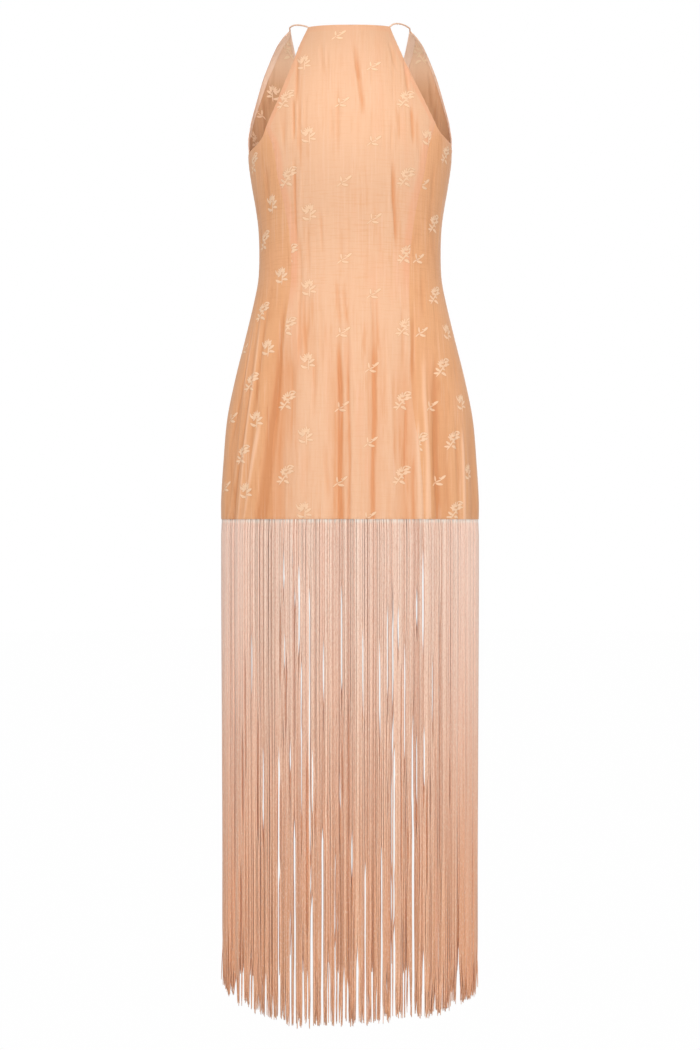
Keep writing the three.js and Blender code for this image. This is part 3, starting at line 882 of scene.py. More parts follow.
def weave_sprigs(panel, spots, inside_above=1.0, pale=0.0):
    """Sprigs on a panel, joined in one piece. Each spot is a kind, a girth and a height. Those
    above a height show on the inside too."""
    along, across = petal_net[:, 0] + 0.5, petal_net[:, 1] * 2
    swell = np.sin(math.pi * along**0.9) ** 0.5
    rise = PETAL_RISE * (1 - across**2) * swell + PETAL_EDGE
    right = 1 if panel.face == "front" else -1
    shown = [(1, *spot) for spot in spots]
    shown += [(-1, *spot) for spot in spots if spot[2] > inside_above]
    petals = []
    for facing_out, kind, spot_girth, spot_z in shown:
        painted_inside_light = PAINTED_INSIDE_LIGHT * (1 - eased(-spot_z, 0, PALE_DEPTH))
        paler = pale if facing_out > 0 else painted_inside_light
        proud = rise if facing_out > 0 else -CLOTH - rise
        for x0, z0, x1, z1, width, bow in SPRIGS[kind]:
            length = math.hypot(x1 - x0, z1 - z0)
            ux, uz = (x1 - x0) / length, (z1 - z0) / length
            u, v = along * length, across * width * swell
            aside = facing_out * v + bow * np.sin(math.pi * along)
            distance = spot_girth + right * (x0 + ux * u - uz * aside) * MM
            z = spot_z + (z0 + uz * u + ux * aside) * MM
            petals.append(np.stack(np.broadcast_arrays(distance, z, proud, rise, u * MM, v * MM, paler)))
    distance, z, proud, rise, u, v, paler = np.concatenate(petals, axis=1)
    mesh = copies(petal_mesh, len(petals), f"sprigs_{panel.name}")
    first, second = panel.edges(z)
    ends = np.sort(np.stack([girth(panel.face, first, z), girth(panel.face, second, z)]), axis=0)
    kept = np.clip(distance, ends[0] + MM, ends[1] - MM)
    angle = angle_of_girth(panel.face, kept, z)
    level = np.clip(z, HEM_Z + MM, panel.top(angle) - MM)
    outside = (kept != distance) | (level != z)
    points, _, _ = panel.points(angle, level, proud)
    values = {"rise": rise / MM, "pale": paler}
    piece = finished(mesh.name, mesh, points, np.stack([u, v], axis=1), values)
    bm = bmesh.new()
    bm.from_mesh(mesh)
    lost = [face for face in bm.faces if all(outside[vertex.index] for vertex in face.verts)]
    bmesh.ops.delete(bm, geom=lost, context="FACES")
    bmesh.ops.dissolve_degenerate(bm, dist=0.01 * MM, edges=bm.edges)
    sharp_border(bm)
    bm.to_mesh(mesh)
    bm.free()
    piece.data.materials.append(figure)
    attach(piece, "root")
    return thickened(piece, CLOTH / 2)


finish = Finish("woven_figure")
grain = finish.grain()
floats = finish.bands(grain, "X", 700.0, 1.0)
# Painted shadow: each petal's low edge takes a dark outline, as if it cast shade on the cloth.
edge = finish.between(finish.attribute("rise"), 0.07, 0.2)
# pale is painted light on the inner face's sprigs near the shoulders, and a slightly paler tone on the
# side fronts.
pale = finish.attribute("pale")
painted_edge_shadow = finish.mix(pale, (0.64, 0.30, 0.14, 1), (0.92, 0.56, 0.34, 1))
petal = finish.mix(pale, (0.89, 0.585, 0.375, 1), (1, 0.745, 0.51, 1))
figure = finish.surface({
    "Base Color": finish.mix(edge, painted_edge_shadow, petal),
    "Roughness": 0.5,
    "Sheen Weight": 0.15,
    "Sheen Tint": (1.0, 0.86, 0.72, 1),
    "Normal": finish.bump(floats, 0.4, 0.0003),
})


def sew(panel, piece, cloth):
    """A cut piece of cloth: its two materials, its cut size printed, its place under the root and its
    part from the model hidden.
    """
    piece.data.materials.append(cloth)
    piece.data.materials.append(shaded_reverse_satin)
    width, length, area = panel.flat_size()
    print(f"cut {panel.name}: {width:.3f} x {length:.3f} m, {area:.4f} m2")
    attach(piece, "root")
    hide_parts(panel.name)


front_centre = Panel(
    "front_centre",
    "front",
    lambda z: (front_edge("left", z), front_edge("right", z)),
    neck_edge,
    front_centre_place,
    allowance=1.2,
)

# The half-drop repeat down the centre front: each column's sprig, its distance from the centre line
# and the height of its first, in millimetres.
CENTRE_COLUMNS = [
    ("bud", -7, -40),
    ("bud", 33, -87),
    ("rose", -55, -80),
    ("spray", -83, -131),
    ("spray", 75, -132),
]
CENTRE_REPEAT = 99.5 * MM
CENTRE_TURNS = 8
BUST_DROP = 6 * MM  # the bust's curve takes up this much of the length, between these depths
BUST_DEPTHS = 130 * MM, 185 * MM
LONE_ROSE = 105 * MM, -182 * MM  # at the right armhole's foot, cut through by the seam
SEEN_BELOW_HEM = 12 * MM  # a sprig whose middle is this little below the hem still shows in part
# The pulled cloth carries the columns sideways: heights, and millimetres at each.
DRIFT_HEIGHTS = (HEM_Z, -330 * MM, -160 * MM, -100 * MM)


def centre_spot(kind, x, z):
    return kind, float(girth("front", angle_at("front", x, z), z)), z


spots = []
for kind, across, top in CENTRE_COLUMNS:
    drifts = (-6, 1, 0, -7 if across < 0 else 0)
    for turn in range(CENTRE_TURNS):
        z = top * MM - turn * CENTRE_REPEAT
        z -= BUST_DROP * eased(-z, *BUST_DEPTHS)
        if z > HEM_Z - SEEN_BELOW_HEM:
            spots.append(centre_spot(kind, (across + np.interp(z, DRIFT_HEIGHTS, drifts)) * MM, z))
spots.append(centre_spot("rose", *LONE_ROSE))

piece = lay_cloth(front_centre, 138, 322)
sprigs = weave_sprigs(front_centre, spots, inside_above=-200 * MM)
sew(front_centre, piece, front_satin)


# ---- Side fronts ------------------------------------------------------------------------------
# A panel each side between the princess seam and the side seam, from the underarm to the hem. They
# are cut on the cross grain of the same satin. Their deeper colour is painted shade, for they turn
# away from the front light, and their ridges carry more painted highlight.
shaded_side_satin = satin(
    "shaded_side_satin",
    lit=(0.78, 0.39, 0.185, 1),
    crease_shade_and_thread=(0.63, 0.25, 0.09, 1),
    warm=(0.80, 0.40, 0.21, 1),
    streaks=1.1,
    painted_ridge_highlight=0.56,
)


def side_front(side):
    sign = SIGN[side]
    seam_top = PRINCESS_TOP[side] - 1e-6  # just low enough to be read from the seam's table

    def height(outward):
        return lerp(PRINCESS_TOP[side], UNDERARM[side], 1 - (1 - outward) ** ARMHOLE_BEND)

    def armhole(angle):
        seam = np.abs(front_edge(side, seam_top))
        return height(np.clip((np.abs(angle) - seam) / (SIDE_SEAM - seam), 0, 1))

    def place(share, down):
        outward = share if sign > 0 else 1 - share
        z = lerp(height(outward), HEM_Z, down)
        seam = np.abs(front_edge(side, np.minimum(z, seam_top)))
        return sign * lerp(seam, SIDE_SEAM, outward), z

    def edges(z):
        seam = front_edge(side, np.minimum(z, seam_top))
        return seam, np.full_like(z, sign * SIDE_SEAM)

    return Panel(f"front_side_{side}", "front", edges, armhole, place)


# Where the sprigs fall on each side front: distance round the cloth from centre front and height,
# in millimetres.
SIDE_FIGURE = {
    "left": {
        "spray": [(156, -207), (135, -312), (130, -411), (143, -508), (155, -606)],
        "rose": [(115, -267), (97, -365), (116, -463), (131, -560), (147, -656)],
        "bud": [(168, -458), (181, -554), (191, -648), (140, -700)],
    },
    "right": {
        "spray": [
            (154, -196), (131, -290), (128, -388), (133, -488), (147, -587), (150, -682), (93, -591),
        ],
        "rose": [(150, -438), (167, -535), (178, -630)],
        "bud": [(107, -242), (99, -340), (101, -441), (116, -541), (126, -641)],
    },
}
for side in ("left", "right"):
    panel = side_front(side)
    spots = []
    for kind, places in SIDE_FIGURE[side].items():
        spots += [(kind, SIGN[side] * around * MM, height * MM) for around, height in places]
    piece = lay_cloth(panel, 60, 246)
    sprigs = weave_sprigs(panel, spots, pale=0.1)
    sew(panel, piece, shaded_side_satin)


# ---- Back -------------------------------------------------------------------------------------
# Two panels joined by a centre-back seam below the scooped neck, each tapering upwards to a tip
# that a strap is sewn to. A waist dart shapes each one.
BACK_TIP_Z = 7 * MM
SCOOP_Z = -165 * MM
SCOOP_HALF_WIDTH = 85.2 * MM
SCOOP_POWER = 1.055
BACK_ROWS = 250  # of each panel's grid, and how many of them lie beside the neck
SCOOP_ROWS = 64
BACK_ARMHOLE = np.array([
    (7, 87.2),
    (0, 95),
    (-10, 103.8),
    (-18, 109),
    (-28, 114.5),
    (-56, 126),
    (-88, 134.2),
    (-121, 141),
    (-139, 143),
    (-157, 144),
    (-187, 142),
]) * MM
CREASES["back"] = [
    (62, -250, 60, -400, 2, 2.4, 1.2),
    (-62, -250, -60, -400, 2.4, 2, 1.2),
    (52, -236, 54, -330, 5, 7, 0.8),
    (-53, -240, -55, -330, 7, 5, 0.8),
    (24, -172, 34, -290, 5, 8, 1.1),
    (-26, -174, -36, -280, 8, 4, 1.1),
    (10, -190, 13, -310, 4, 5, 0.7),
    (-12, -200, -14, -330, 5, 4, 0.8),
    (84, -130, 88, -260, 4, 6, 1.2),
    (-86, -136, -90, -250, 6, 4, 1.2),
    (108, -60, 116, -200, 5, 7, 1.1),
    (-112, -70, -118, -210, 7, 4, 1.1),
    (96, -230, 90, -360, 5, 4, 0.8),
    (-98, -220, -92, -350, 4, 6, 0.8),
    (88, -12, 84, -90, 3, 4, 1.6),
    (116, -36, 121, -110, 5, 7, 1.1),
    (128, -78, 124, -172, 7, 6, 1.6),
    (-92, -34, -98, -110, 6, 4, -0.6),
    (-110, -26, -119, -100, 5, 6, 0.9),
    (-127, -72, -122, -166, 6, 8, 1.5),
    (12, -430, 16, -700, 4, 6, 1.8),
    (-14, -450, -20, -700, 7, 4, 2.0),
    (28, -520, 31, -700, 4, 4, 0.8),
    (38, -420, 44, -700, 5, 7, 1.5),
    (-34, -500, -37, -700, 4, 4, 0.8),
    (-44, -410, -50, -700, 7, 4, 1.7),
    (70, -440, 80, -700, 5, 8, 2.1),
    (-72, -430, -84, -700, 8, 5, 2.0),
    (100, -430, 112, -700, 5, 6, 1.4),
    (-100, -450, -114, -700, 6, 5, 1.6),
    (56, -520, 62, -700, 5, 4, -1.1),
    (-60, -520, -66, -700, 4, 5, -1.1),
    (126, -420, 142, -700, 4, 6, 1.2),
    (-126, -430, -144, -700, 6, 4, 1.2),
    (136, -400, 156, -640, 4, 4, -0.8),
    (-138, -410, -158, -650, 4, 4, -0.8),
] + scattered(5, 180, 145, -70, -690)


def back_edges(side, z):
    """Angles of a back's armhole or side edge, and of its neck or centre edge."""
    drop = np.clip((BACK_TIP_Z - z) / (BACK_TIP_Z - SCOOP_Z), 0, 1)
    neck = SCOOP_HALF_WIDTH * np.sqrt(1 - drop**SCOOP_POWER)
    armhole = np.where(z > UNDERARM[side], column(BACK_ARMHOLE, 1, z), 1)
    sign = SIGN[side]
    return angle_at("back", sign * armhole, z), angle_at("back", sign * np.maximum(neck, 1e-9), z)


def back_top(angle):
    return np.full_like(angle, BACK_TIP_Z)


def back_panel(side):
    def place(share, down):
        z = np.interp(down * BACK_ROWS, [0, SCOOP_ROWS, BACK_ROWS], [BACK_TIP_Z, SCOOP_Z, HEM_Z])
        outer, inner = back_edges(side, z)
        inward = share if SIGN[side] > 0 else 1 - share
        return lerp(outer, inner, inward), z

    return Panel(f"back_{side}", "back", lambda z: back_edges(side, z), back_top, place)


# The sprigs on each back: kind, distance from centre back and height, in millimetres. Below the
# underarm they lie in columns along the cloth, measured as girth.
UPPER_BACK = {
    "left": [
        ("spray", 90, -14),
        ("rose", 112, -75),
        ("bud", 84, -112),
        ("bud", 132, -108),
        ("spray", 138, -151),
    ],
    "right": [("spray", 100, -20), ("bud", 78, -84), ("rose", 103, -146)],
}
BACK_COLUMNS = [
    ("bud", 18, -190),
    ("spray", 56, -222),
    ("rose", 98, -176),
    ("bud", 134, -222),
    ("spray", 168, -196),
    ("rose", 204, -440),
]
BACK_REPEAT = 101
BACK_TURNS = 6
BACK_SPREAD = 0.02  # how much further apart the columns are at each repeat
FIGURE_MARGIN = 12 * MM  # kept clear beside the armhole and side seam
backs = {}
for side in ("left", "right"):
    panel = back_panel(side)
    places = []
    for kind, across, height in UPPER_BACK[side]:
        x, z = np.array([SIGN[side] * across * MM]), np.array([height * MM])
        places.append((kind, girth("back", angle_at("back", x, z), z)[0], height * MM))
    for kind, across, top in BACK_COLUMNS:
        for turn in range(BACK_TURNS):
            height = np.array([(top - BACK_REPEAT * turn) * MM])
            outer, _ = back_edges(side, height)
            distance = across * (1 + BACK_SPREAD * turn) * MM
            room = abs(girth("back", outer, height)[0]) - FIGURE_MARGIN
            if height[0] > HEM_Z - SEEN_BELOW_HEM and distance < room:
                places.append((kind, SIGN[side] * distance, height[0]))
    piece = lay_cloth(panel, 84, BACK_ROWS)
    backs[side] = panel, piece, weave_sprigs(panel, places, inside_above=-170 * MM)


# ---- Back facings -----------------------------------------------------------------------------
# Narrow bias strips that finish the back's armhole and neck edges on the inside, of plain matt
# lining cloth, folded and slip-stitched down.
FACING_UNDER = 0.9 * MM  # of its face under the satin's
FACING_INSET = 0.3 * MM  # of its edge from the satin's
FACING_CLOTH = 0.4 * MM
FACING_TOP = 6.2 * MM
FACING_FOOT = {
    "left": {"armhole": -183 * MM, "neck": -160 * MM},
    "right": {"armhole": -171 * MM, "neck": -160 * MM},
}
# Widths in millimetres at the tip and at the foot.
FACING_WIDTHS = {
    "left": {"armhole": (9.5, 3.2), "neck": (3, 4)},
    "right": {"armhole": (2.6, 1.8), "neck": (13, 10)},
}

finish = Finish("facing_cloth")
grain = finish.grain()
bias = finish.node("ShaderNodeMapping", {}, {"Vector": grain, "Rotation": (0, 0, math.pi / 4)})
weave = finish.bands(bias, "X", 700.0) + finish.bands(bias, "Y", 700.0)
patch = finish.noise(grain, (60, 25, 1))
# Painted light and shade: the facings are paler towards the tips and darker lower down.
top_light_share = finish.between(finish.height(), -0.09, 0.01)
shade = finish.mix(top_light_share, (0.78, 0.51, 0.36, 1), (1, 0.73, 0.55, 1))
facing_cloth = finish.surface({
    "Base Color": finish.mix(patch * 0.3, shade, (1, 0.72, 0.55, 1)),
    "Roughness": 0.75,
    "Sheen Weight": 0.2,
    "Normal": finish.bump(weave + patch, 0.3, 0.0003),
})


def facing(side, edge):
    sign = SIGN[side]
    widths = FACING_WIDTHS[side]
    foot = FACING_FOOT[side][edge]

    def place(share, down):
        z = lerp(FACING_TOP, foot, down)
        outer, inner = back_edges(side, z)
        armhole = lerp(*widths["armhole"], np.sqrt(down)) * MM
        neck = lerp(*widths["neck"], np.sqrt(down)) * MM
        radius = form_radius("back", outer, z)
        room = np.abs(inner - outer) * radius - MM
        fit = np.minimum(1, room / (armhole + neck)) / radius
        inward = share if sign > 0 else 1 - share
        if edge == "armhole":
            return outer + sign * (FACING_INSET / radius + inward * armhole * fit), z
        return inner - sign * (FACING_INSET / radius + (1 - inward) * neck * fit), z

    def ends(z):
        down = np.clip((z - FACING_TOP) / (foot - FACING_TOP), 0, 1)
        return place(np.zeros_like(z), down)[0], place(np.ones_like(z), down)[0]

    return Panel(f"back_facing_{edge}_{side}", "back", ends, back_top, place)


for side in ("left", "right"):
    for edge in ("armhole", "neck"):
        panel = facing(side, edge)
        piece = lay_cloth(panel, 6, 80, -FACING_UNDER, FACING_CLOTH)
        piece.data.materials.append(facing_cloth)
        piece.data.materials.append(facing_cloth)
        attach(piece, "root")
        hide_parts(panel.name)
    panel, piece, sprigs = backs[side]
    sew(panel, piece, front_satin)


# ---- Straps -----------------------------------------------------------------------------------
# A rouleau of the same satin over each shoulder: a bias tube turned right side out, about 2 mm
# thick. One end is caught inside the front's corner and the other on the back's tip.
STRAP_RADIUS = 1.1 * MM
STRAP_SIDES = 10
STRAP_SEGMENTS = 60
CAUGHT_Z = np.array([-29, -22]) * MM  # heights of its end inside the front's corner
CAUGHT_IN = 0.03  # of that end from the armhole's edge, in radians
CAUGHT_UNDER = 2.4 * MM  # and below the satin's outer face
TIP_UNDER = 0.6 * MM  # how far its other end lies below that face at the back's tip
TIP_UP = 0.9 * MM  # and stands above the tip
# The way over each shoulder, in millimetres.
STRAP_PATHS = {
    "left": [
        (-57.4, -38, -18),
        (-60.2, -28, -13),
        (-66.9, -10, -5.2),
        (-73.7, 8, 1.7),
        (-79.6, 24, 6.7),
        (-83.9, 36, 9.2),
        (-86.2, 44, 9.6),
    ],
    "right": [
        (56.4, -38, -15.5),
        (58.7, -28, -10.2),
        (64.5, -10, -2.7),
        (71, 8, 3.2),
        (77.6, 24, 6.8),
        (82.2, 36, 8.6),
        (85.4, 44, 9.2),
    ],
}


def rod(sides, segments):
    """Closed rod along Z, of radius 1 and length 1, cut into segments, with its round in a UV map."""
    bm = bmesh.new()
    bmesh.ops.create_cone(bm, cap_ends=True, segments=sides, radius1=1, radius2=1, depth=1)
    upright = [edge for edge in bm.edges if abs(edge.verts[0].co.z - edge.verts[1].co.z) > 0.5]
    bmesh.ops.subdivide_edges(bm, edges=upright, cuts=segments - 1)
    grain = bm.loops.layers.uv.new("grain")
    for face in bm.faces:
        middle = face.calc_center_median()
        start = math.atan2(middle.y, middle.x)
        for loop in face.loops:
            turn = math.atan2(loop.vert.co.y, loop.vert.co.x) - start
            turn = math.atan2(math.sin(turn), math.cos(turn)) + start
            loop[grain].uv = (turn / (2 * math.pi), 0.5 - loop.vert.co.z)
    return mesh_from(bm, "rod")


def smooth_path(points, count):
    """Evenly spread points of a smooth curve through the given ones."""
    knots = np.concatenate([[0], np.cumsum(np.linalg.norm(np.diff(points, axis=0), axis=1))])
    rows = np.column_stack([-knots, points])
    at = -np.linspace(0, knots[-1], count)
    return np.stack([column(rows, axis, at) for axis in (1, 2, 3)], axis=1)


finish = Finish("strap_satin")
grain = finish.grain()
twist = finish.noise(grain, (3, 60, 1), 3.0)
seam = finish.bands(grain, "Y", 12.0, 3.0)
strap_satin = finish.surface({
    "Base Color": finish.mix(twist, (0.86, 0.47, 0.27, 1), (0.97, 0.64, 0.43, 1)),
    "Roughness": 0.5,
    "Sheen Weight": 0.2,
    "Normal": finish.bump(twist + seam * 0.3, 0.2, 0.0003),
})

for side in ("left", "right"):
    sign = SIGN[side]
    inside = front_edge(side, CAUGHT_Z) - sign * CAUGHT_IN
    under = form_normal("front", inside, CAUGHT_Z) * CAUGHT_UNDER
    caught = form_point("front", inside, CAUGHT_Z) - under
    top = np.array([BACK_TIP_Z])
    outer, inner = back_edges(side, top)
    tip = form_point("back", (outer + inner) / 2, top) - form_normal("back", outer, top) * TIP_UNDER
    tip[:, 2] += TIP_UP
    path = np.concatenate([caught, np.array(STRAP_PATHS[side]) * MM, tip])
    mesh = rod(STRAP_SIDES, STRAP_SEGMENTS)
    net = coordinates(mesh)
    line = smooth_path(path, STRAP_SEGMENTS + 1)
    step = np.rint((0.5 - net[:, 2]) * STRAP_SEGMENTS).astype(int)
    tangent = np.gradient(line, axis=0)
    tangent /= np.linalg.norm(tangent, axis=1, keepdims=True)
    aside = np.cross(tangent, (0, 0, 1))
    aside /= np.linalg.norm(aside, axis=1, keepdims=True)
    above = np.cross(aside, tangent)
    swell = 1 + 0.06 * np.sin(step * 1.7) + 0.04 * np.sin(step * 0.9 + 1)
    offset = aside[step] * net[:, :1] + above[step] * net[:, 1:2]
    points = line[step] + offset * (STRAP_RADIUS * swell)[:, None]
    piece = finished(f"rouleau_{side}", mesh, points, None, {})
    bm = bmesh.new()
    bm.from_mesh(mesh)
    bmesh.ops.recalc_face_normals(bm, faces=bm.faces)
    bm.to_mesh(mesh)
    bm.free()
    piece.data.materials.append(strap_satin)
    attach(piece, "root")
    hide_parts(f"strap_{side}")


# ---- Fringe -----------------------------------------------------------------------------------
# About a thousand soft twisted rayon yarns on each half, sewn in three close rows inside the hem and
# cut about level. They hang in loose bunches, so narrow gaps open between them towards the tips.
TIP_Z = -1355 * MM
YARN_RADIUS = 0.93 * MM
YARN_SIDES = 3
YARN_SEGMENTS = 29
YARN_PITCH = 1.4 * MM
LAYERS = 3
LAYER_PITCH = 1.1 * MM
SEWN_UP = 8 * MM  # the yarns start this far above the hem
HEM_LEVEL = HEM_Z + 2 * MM  # where their places under the cloth are found
FRINGE_UNDER = CLOTH + 0.5 * MM + YARN_RADIUS

# Gaps that open between the bunches: distance from the centre line at the front, height of top
# and foot, and width, in millimetres. A gap in the back is in line with each.
GAPS = [
    (-115, -985, -1150, 1.0),
    (-94, -995, -1400, 1.8),
    (-88, -945, -1005, 0.9),
    (-87, -725, -810, 0.8),
    (-86, -840, -930, 0.8),
    (-79, -975, -1080, 1.0),
    (-78, -1200, -1400, 1.5),
    (-75, -730, -785, 1.0),
    (-73.5, -1080, -1400, 1.7),
    (-72.5, -785, -840, 0.9),
    (-67, -740, -910, 0.8),
    (-64, -860, -1150, 0.8),
    (-53.5, -760, -1215, 1.1),
    (-50.5, -985, -1140, 0.8),
    (-51, -1180, -1400, 2.7),
    (-36.5, -1090, -1400, 1.8),
    (-35, -840, -975, 0.9),
    (-30, -1055, -1115, 0.7),
    (-28, -1270, -1400, 0.8),
    (-16, -1180, -1400, 0.7),
    (-13, -1010, -1140, 0.7),
    (-11, -760, -960, 0.9),
    (-8, -1275, -1400, 1.4),
    (-4, -1280, -1400, 1.0),
    (2.5, -1100, -1240, 1.0),
    (10, -1255, -1400, 2.0),
    (17, -820, -980, 0.8),
    (20, -1130, -1400, 1.0),
    (37, -1230, -1290, 0.8),
    (39.5, -850, -1010, 0.8),
    (42, -1120, -1400, 1.2),
    (51, -1025, -1100, 0.9),
    (56.5, -780, -1400, 1.2),
    (57.5, -980, -1400, 1.9),
    (50, -790, -970, 0.7),
    (63, -790, -900, 0.8),
    (72, -840, -1060, 0.8),
    (77, -1080, -1170, 0.8),
    (78, -1270, -1400, 0.9),
    (83.5, -935, -1400, 2.2),
    (87, -965, -1125, 1.2),
    (88, -775, -860, 0.8),
    (96, -725, -880, 1.0),
    (97, -1255, -1400, 2.0),
    (98, -955, -1100, 1.1),
    (109.5, -860, -1005, 0.8),
    (143.5, -1285, -1400, 1.0),
    (-129.5, -1280, -1400, 1.0),
    (-152, -1300, -1400, 0.8),
]


EXTRA_GAPS = 30  # in each half


def more_gaps(seed, count):
    """Short gaps in one half only, through which the other half's yarns are seen."""
    dice = np.random.default_rng(seed)
    top = dice.uniform(-1300, -760, count)
    foot = top - dice.uniform(80, 420, count)
    foot[foot < -1290] = -1400
    return list(zip(dice.uniform(-150, 150, count), top, foot, dice.uniform(0.2, 1.1, count)))


finish = Finish("fringe_yarn")
grain = finish.grain()
tone = finish.attribute("tone")
lowness = finish.between(finish.height() * -1, 0.72, 1.3)
pale = finish.mix(tone, (1.0, 0.755, 0.62, 1), (0.89, 0.575, 0.445, 1))
full = finish.mix(tone, (0.96, 0.55, 0.345, 1), (0.72, 0.33, 0.17, 1))
twist = {"Vector": grain, "Rotation": (0, 0, 0.785), "Scale": (1, 220, 1)}
plies = finish.bands(finish.node("ShaderNodeMapping", {}, twist), "X", 0.5, 0.0)
speck = finish.noise(finish.place(), (760, 760, 230), 2.0, 0.6)
shaded = (1 - finish.between(speck, 0.35, 0.5)) * 0.3
# Paler specks on the yarns.
pale_specks = finish.between(speck, 0.56, 0.66) * 0.4
yarn_tone = finish.mix(shaded, finish.mix(lowness, pale, full), (0.66, 0.32, 0.165, 1))
# Painted shade: the inner rows of yarn are deeper and more saturated, as shade between the yarns makes
# them.
yarn_tone = finish.mix(finish.attribute("inner") * 0.45, yarn_tone, (0.80, 0.38, 0.17, 1))
aside = finish.node("ShaderNodeSeparateXYZ", {}, {"Vector": finish.place()}, "X")
# Painted light: the yarns at the flanks, which the lamps light dimly, take a pinker, redder tone.
flank_light_share = finish.between(aside * aside, 0.012, 0.026)
flank_painted_light = finish.mix(lowness, (1, 0.71, 0.60, 1), (0.93, 0.44, 0.23, 1))
yarn_tone = finish.mix(flank_light_share * 0.35, yarn_tone, flank_painted_light)
# Painted light: the yarns' heads just under the hem are paler, where the hem's shadow falls on them.
painted_light_under_hem = finish.between(finish.height(), HEM_Z - 7 * MM, HEM_Z - 2 * MM)
yarn_tone = finish.mix(painted_light_under_hem * (1 - tone) * 0.9, yarn_tone, (1, 0.92, 0.84, 1))
fringe_yarn = finish.surface({
    "Base Color": finish.mix(pale_specks, yarn_tone, (0.98, 0.80, 0.66, 1)),
    "Roughness": 0.55,
    "Sheen Weight": 0.3,
    "Sheen Roughness": 0.5,
    "Normal": finish.bump(plies, 0.4, 0.0004),
})

FRONT_GAP_DEPTH = 109 * MM  # a gap's place is told where it is this far in front of the middle
BACK_GAP_SCALE = 1.115  # and is this much further out in the back
GAP_OPENS = 40 * MM  # lengths in which a gap opens and closes
GAP_CLOSES = 35 * MM
# A yarn's rings are closer in its lower half, and the two next to its ends are near the ends, so
# that only the cut ends turn dark.
RING_SHARES = np.array([0, 1, 11, YARN_SEGMENTS - 1, YARN_SEGMENTS]) / YARN_SEGMENTS
RING_PLACES = np.array([0, 0.002, 0.45, 0.997, 1])
# How far down the tips reach, across the front: distance from the centre line and height, in
# millimetres.
TIP_PLACES = (-174, -150, -120, -85, 0, 40, 65, 120, 140, 174)
TIP_HEIGHTS = (-1343, -1347, -1358, -1367, -1362, -1360, -1354, -1357, -1347, -1350)


def gap_shift(gaps, x, home, z):
    """How far the gaps push a yarn aside. It stays on the side of a gap that it starts from."""
    shift = np.zeros_like(x)
    for centre, top, foot, width in gaps:
        side = np.where(home < centre * MM, -1, 1)
        aside = (x - centre * MM) * side
        opened = eased(-z, -top * MM, -top * MM + GAP_OPENS)
        closed = 1 - eased(-z, -foot * MM - GAP_CLOSES, -foot * MM) if foot * MM > TIP_Z else 1
        reach = (3 + width) * MM
        push = (width * MM / 2 + YARN_RADIUS) * np.exp(-np.maximum(aside, 0) / reach)
        shift += side * (push + np.maximum(-aside, 0)) * opened * closed
    return shift


WIDE_BUNCH = 12 * MM, 30 * MM  # smallest and largest, along the hem
TUFT = 4 * MM, 15 * MM
MOST_BUNCHES = 200
WIDE_LEAN = 0.05  # share of its way to its bunch's middle that a yarn leans
TUFT_LEAN = 0.36
SHORT_SHARE = 0.3  # of the yarns are cut shorter, by this many millimetres
SHORTER = 8, 36
SPLAY_LENGTH = 60 * MM  # of the tips, which stray, lean into tufts and draw in
DRAWN_IN = 0.012
HANG_IN = 1.8 * MM  # how far in the yarns hang lower down
HELD_OUT = 1.3 * MM  # and how far out the hem's edge holds them
FULL_TURN = 6.28


def bunched(start, dice, smallest, largest, parted):
    """How far each yarn is from the middle of its bunch, with some places always parted."""
    ends = np.cumsum(dice.uniform(smallest, largest, MOST_BUNCHES)) + start.min() - largest
    clear = np.abs(ends[:, None] - parted).min(axis=1) > smallest / 2
    ends = np.sort(np.concatenate([ends[clear], parted]))
    here = np.searchsorted(ends, start)
    return ((ends[here - 1] + ends[here]) / 2 - start)[:, None]


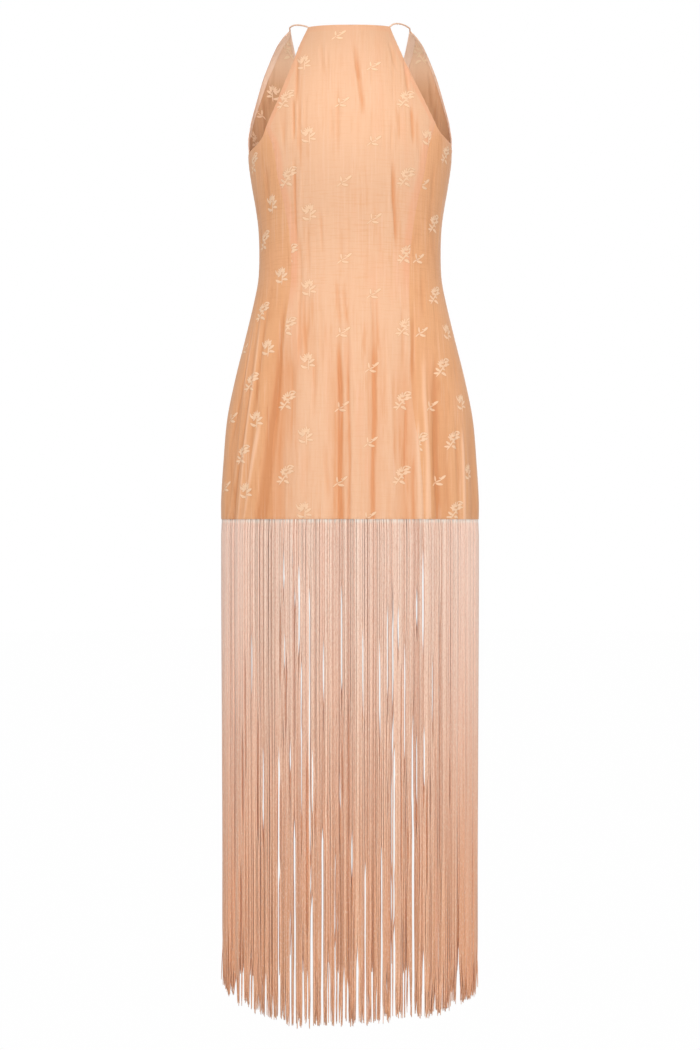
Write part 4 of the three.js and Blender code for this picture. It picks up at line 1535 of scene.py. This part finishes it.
def fringe(face, seed):
    """One half of the fringe, as one joined mesh of separate yarns."""
    dice = np.random.default_rng(seed)
    ahead = 1 if face == "front" else -1
    # Along the hem
    half_girth = girth(face, np.array([SIDE_SEAM]), np.array([HEM_Z]))[0]
    per_layer = int(2 * half_girth / YARN_PITCH)
    count = per_layer * LAYERS
    spread = (np.arange(count) % per_layer + 0.5) / per_layer * 2 - 1
    layer = np.arange(count) // per_layer
    uneven = 0.3 + 0.3 * eased(half_girth - np.abs(spread * half_girth), 20 * MM, 90 * MM)
    start = spread * half_girth + dice.uniform(-1, 1, count) * uneven * MM
    start = np.clip(start, -half_girth + MM, half_girth - MM)
    low = np.full(len(GAPS), HEM_Z)
    middle = np.array(GAPS)[:, 0] * MM * (1 if face == "front" else BACK_GAP_SCALE)
    parted = np.sort(girth(face, angle_at(face, middle, low), low))
    wide = bunched(start, dice, *WIDE_BUNCH, parted)
    tuft = bunched(start, dice, *TUFT, parted)
    cut_short = dice.uniform(0, 1, count) < SHORT_SHARE
    shorter = np.where(cut_short, dice.uniform(*SHORTER, count), 0) * MM
    pointed = np.abs(tuft[:, 0]) * 0.9 + 4 * MM * np.sin((start + tuft[:, 0]) / (1.7 * MM) + seed)
    # Under the cloth
    hem = np.full(count, HEM_LEVEL)
    angle = angle_of_girth(face, start, hem)
    pressed = crease_depth(face, angle, hem)
    base = form_point(face, angle, hem)
    under = FRINGE_UNDER + pressed + layer * LAYER_PITCH + dice.uniform(0, 0.4, count) * MM
    root = base - form_normal(face, angle, hem) * under[:, None]
    # Down to the tips
    one = rod(YARN_SIDES, YARN_SEGMENTS)
    net = coordinates(one)
    scale = (CAMERA_DISTANCE + root[:, 1:2]) / (CAMERA_DISTANCE - FRONT_GAP_DEPTH)
    tip = np.interp(root[:, 0] / MM, TIP_PLACES, TIP_HEIGHTS) * MM
    tip += pointed + dice.uniform(-3, 5, count) * MM + shorter
    t = np.interp(0.5 - net[:, 2], RING_SHARES, RING_PLACES)[None, :]
    z = lerp(HEM_Z + SEWN_UP, tip[:, None], t)
    hang = np.repeat(root[:, None, :], len(net), axis=1)
    inward = HANG_IN * eased(HEM_Z - z, 0.05, 0.5) - HELD_OUT * eased(HEM_Z - z, 0.001, 0.012)
    along = hang[..., :2] / np.linalg.norm(hang[..., :2], axis=-1, keepdims=True)
    hang[..., :2] -= along * inward[..., None]
    phase = dice.uniform(0, FULL_TURN, (2, count, 1))
    pace = dice.uniform(60, 140, (2, count, 1)) * MM
    sway = eased(HEM_Z - z, 0, 0.5) * dice.uniform(0.1, 0.6, (count, 1)) * MM
    x = hang[..., 0] + sway * np.sin(z / pace[0] + phase[0])
    y = hang[..., 1] + sway * np.sin(z / pace[1] + phase[1])
    # Into bunches, tufts and gaps
    splay = eased(z - tip[:, None], SPLAY_LENGTH, 0)
    lean = wide * WIDE_LEAN * eased(HEM_Z - z, 0.2, 0.6) + tuft * TUFT_LEAN * splay
    x = x + lean * np.cos(angle)[:, None] * ahead
    home = root[:, :1] / scale
    stray = np.clip(dice.normal(0, 0.9, (count, 1)) ** 3, -3.5, 3.5)
    x = x * (1 - DRAWN_IN * splay) + splay * (dice.normal(0, 0.9, (count, 1)) + stray) * MM
    x = x + gap_shift(GAPS + more_gaps(seed, EXTRA_GAPS), x / scale, home, z) * scale
    y = y + splay * dice.normal(0, 1.0, (count, 1)) * MM
    # Round each yarn, which is cut to a softer tip
    thick = YARN_RADIUS * dice.uniform(0.8, 1.1, (count, 1))
    thick = thick * (1 - 0.5 * eased(t, 0.99, 1))
    turn = dice.uniform(0, FULL_TURN, (count, 1))
    px = net[:, 0] * np.cos(turn) - net[:, 1] * np.sin(turn)
    py = net[:, 0] * np.sin(turn) + net[:, 1] * np.cos(turn)
    points = np.stack([x + px * thick, y + py * thick, z], axis=-1).reshape(-1, 3)
    tone = np.repeat(dice.uniform(0, 1, count) ** 1.4, len(net))
    inner = np.repeat(layer / (LAYERS - 1), len(net))
    mesh = copies(one, count, f"yarns_{face}")
    piece = finished(mesh.name, mesh, points, None, {"tone": tone, "inner": inner})
    piece.data.materials.append(fringe_yarn)
    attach(piece, "root")
    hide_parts(f"fringe_{face}")


for face, seed in (("front", 11), ("back", 12)):
    fringe(face, seed)
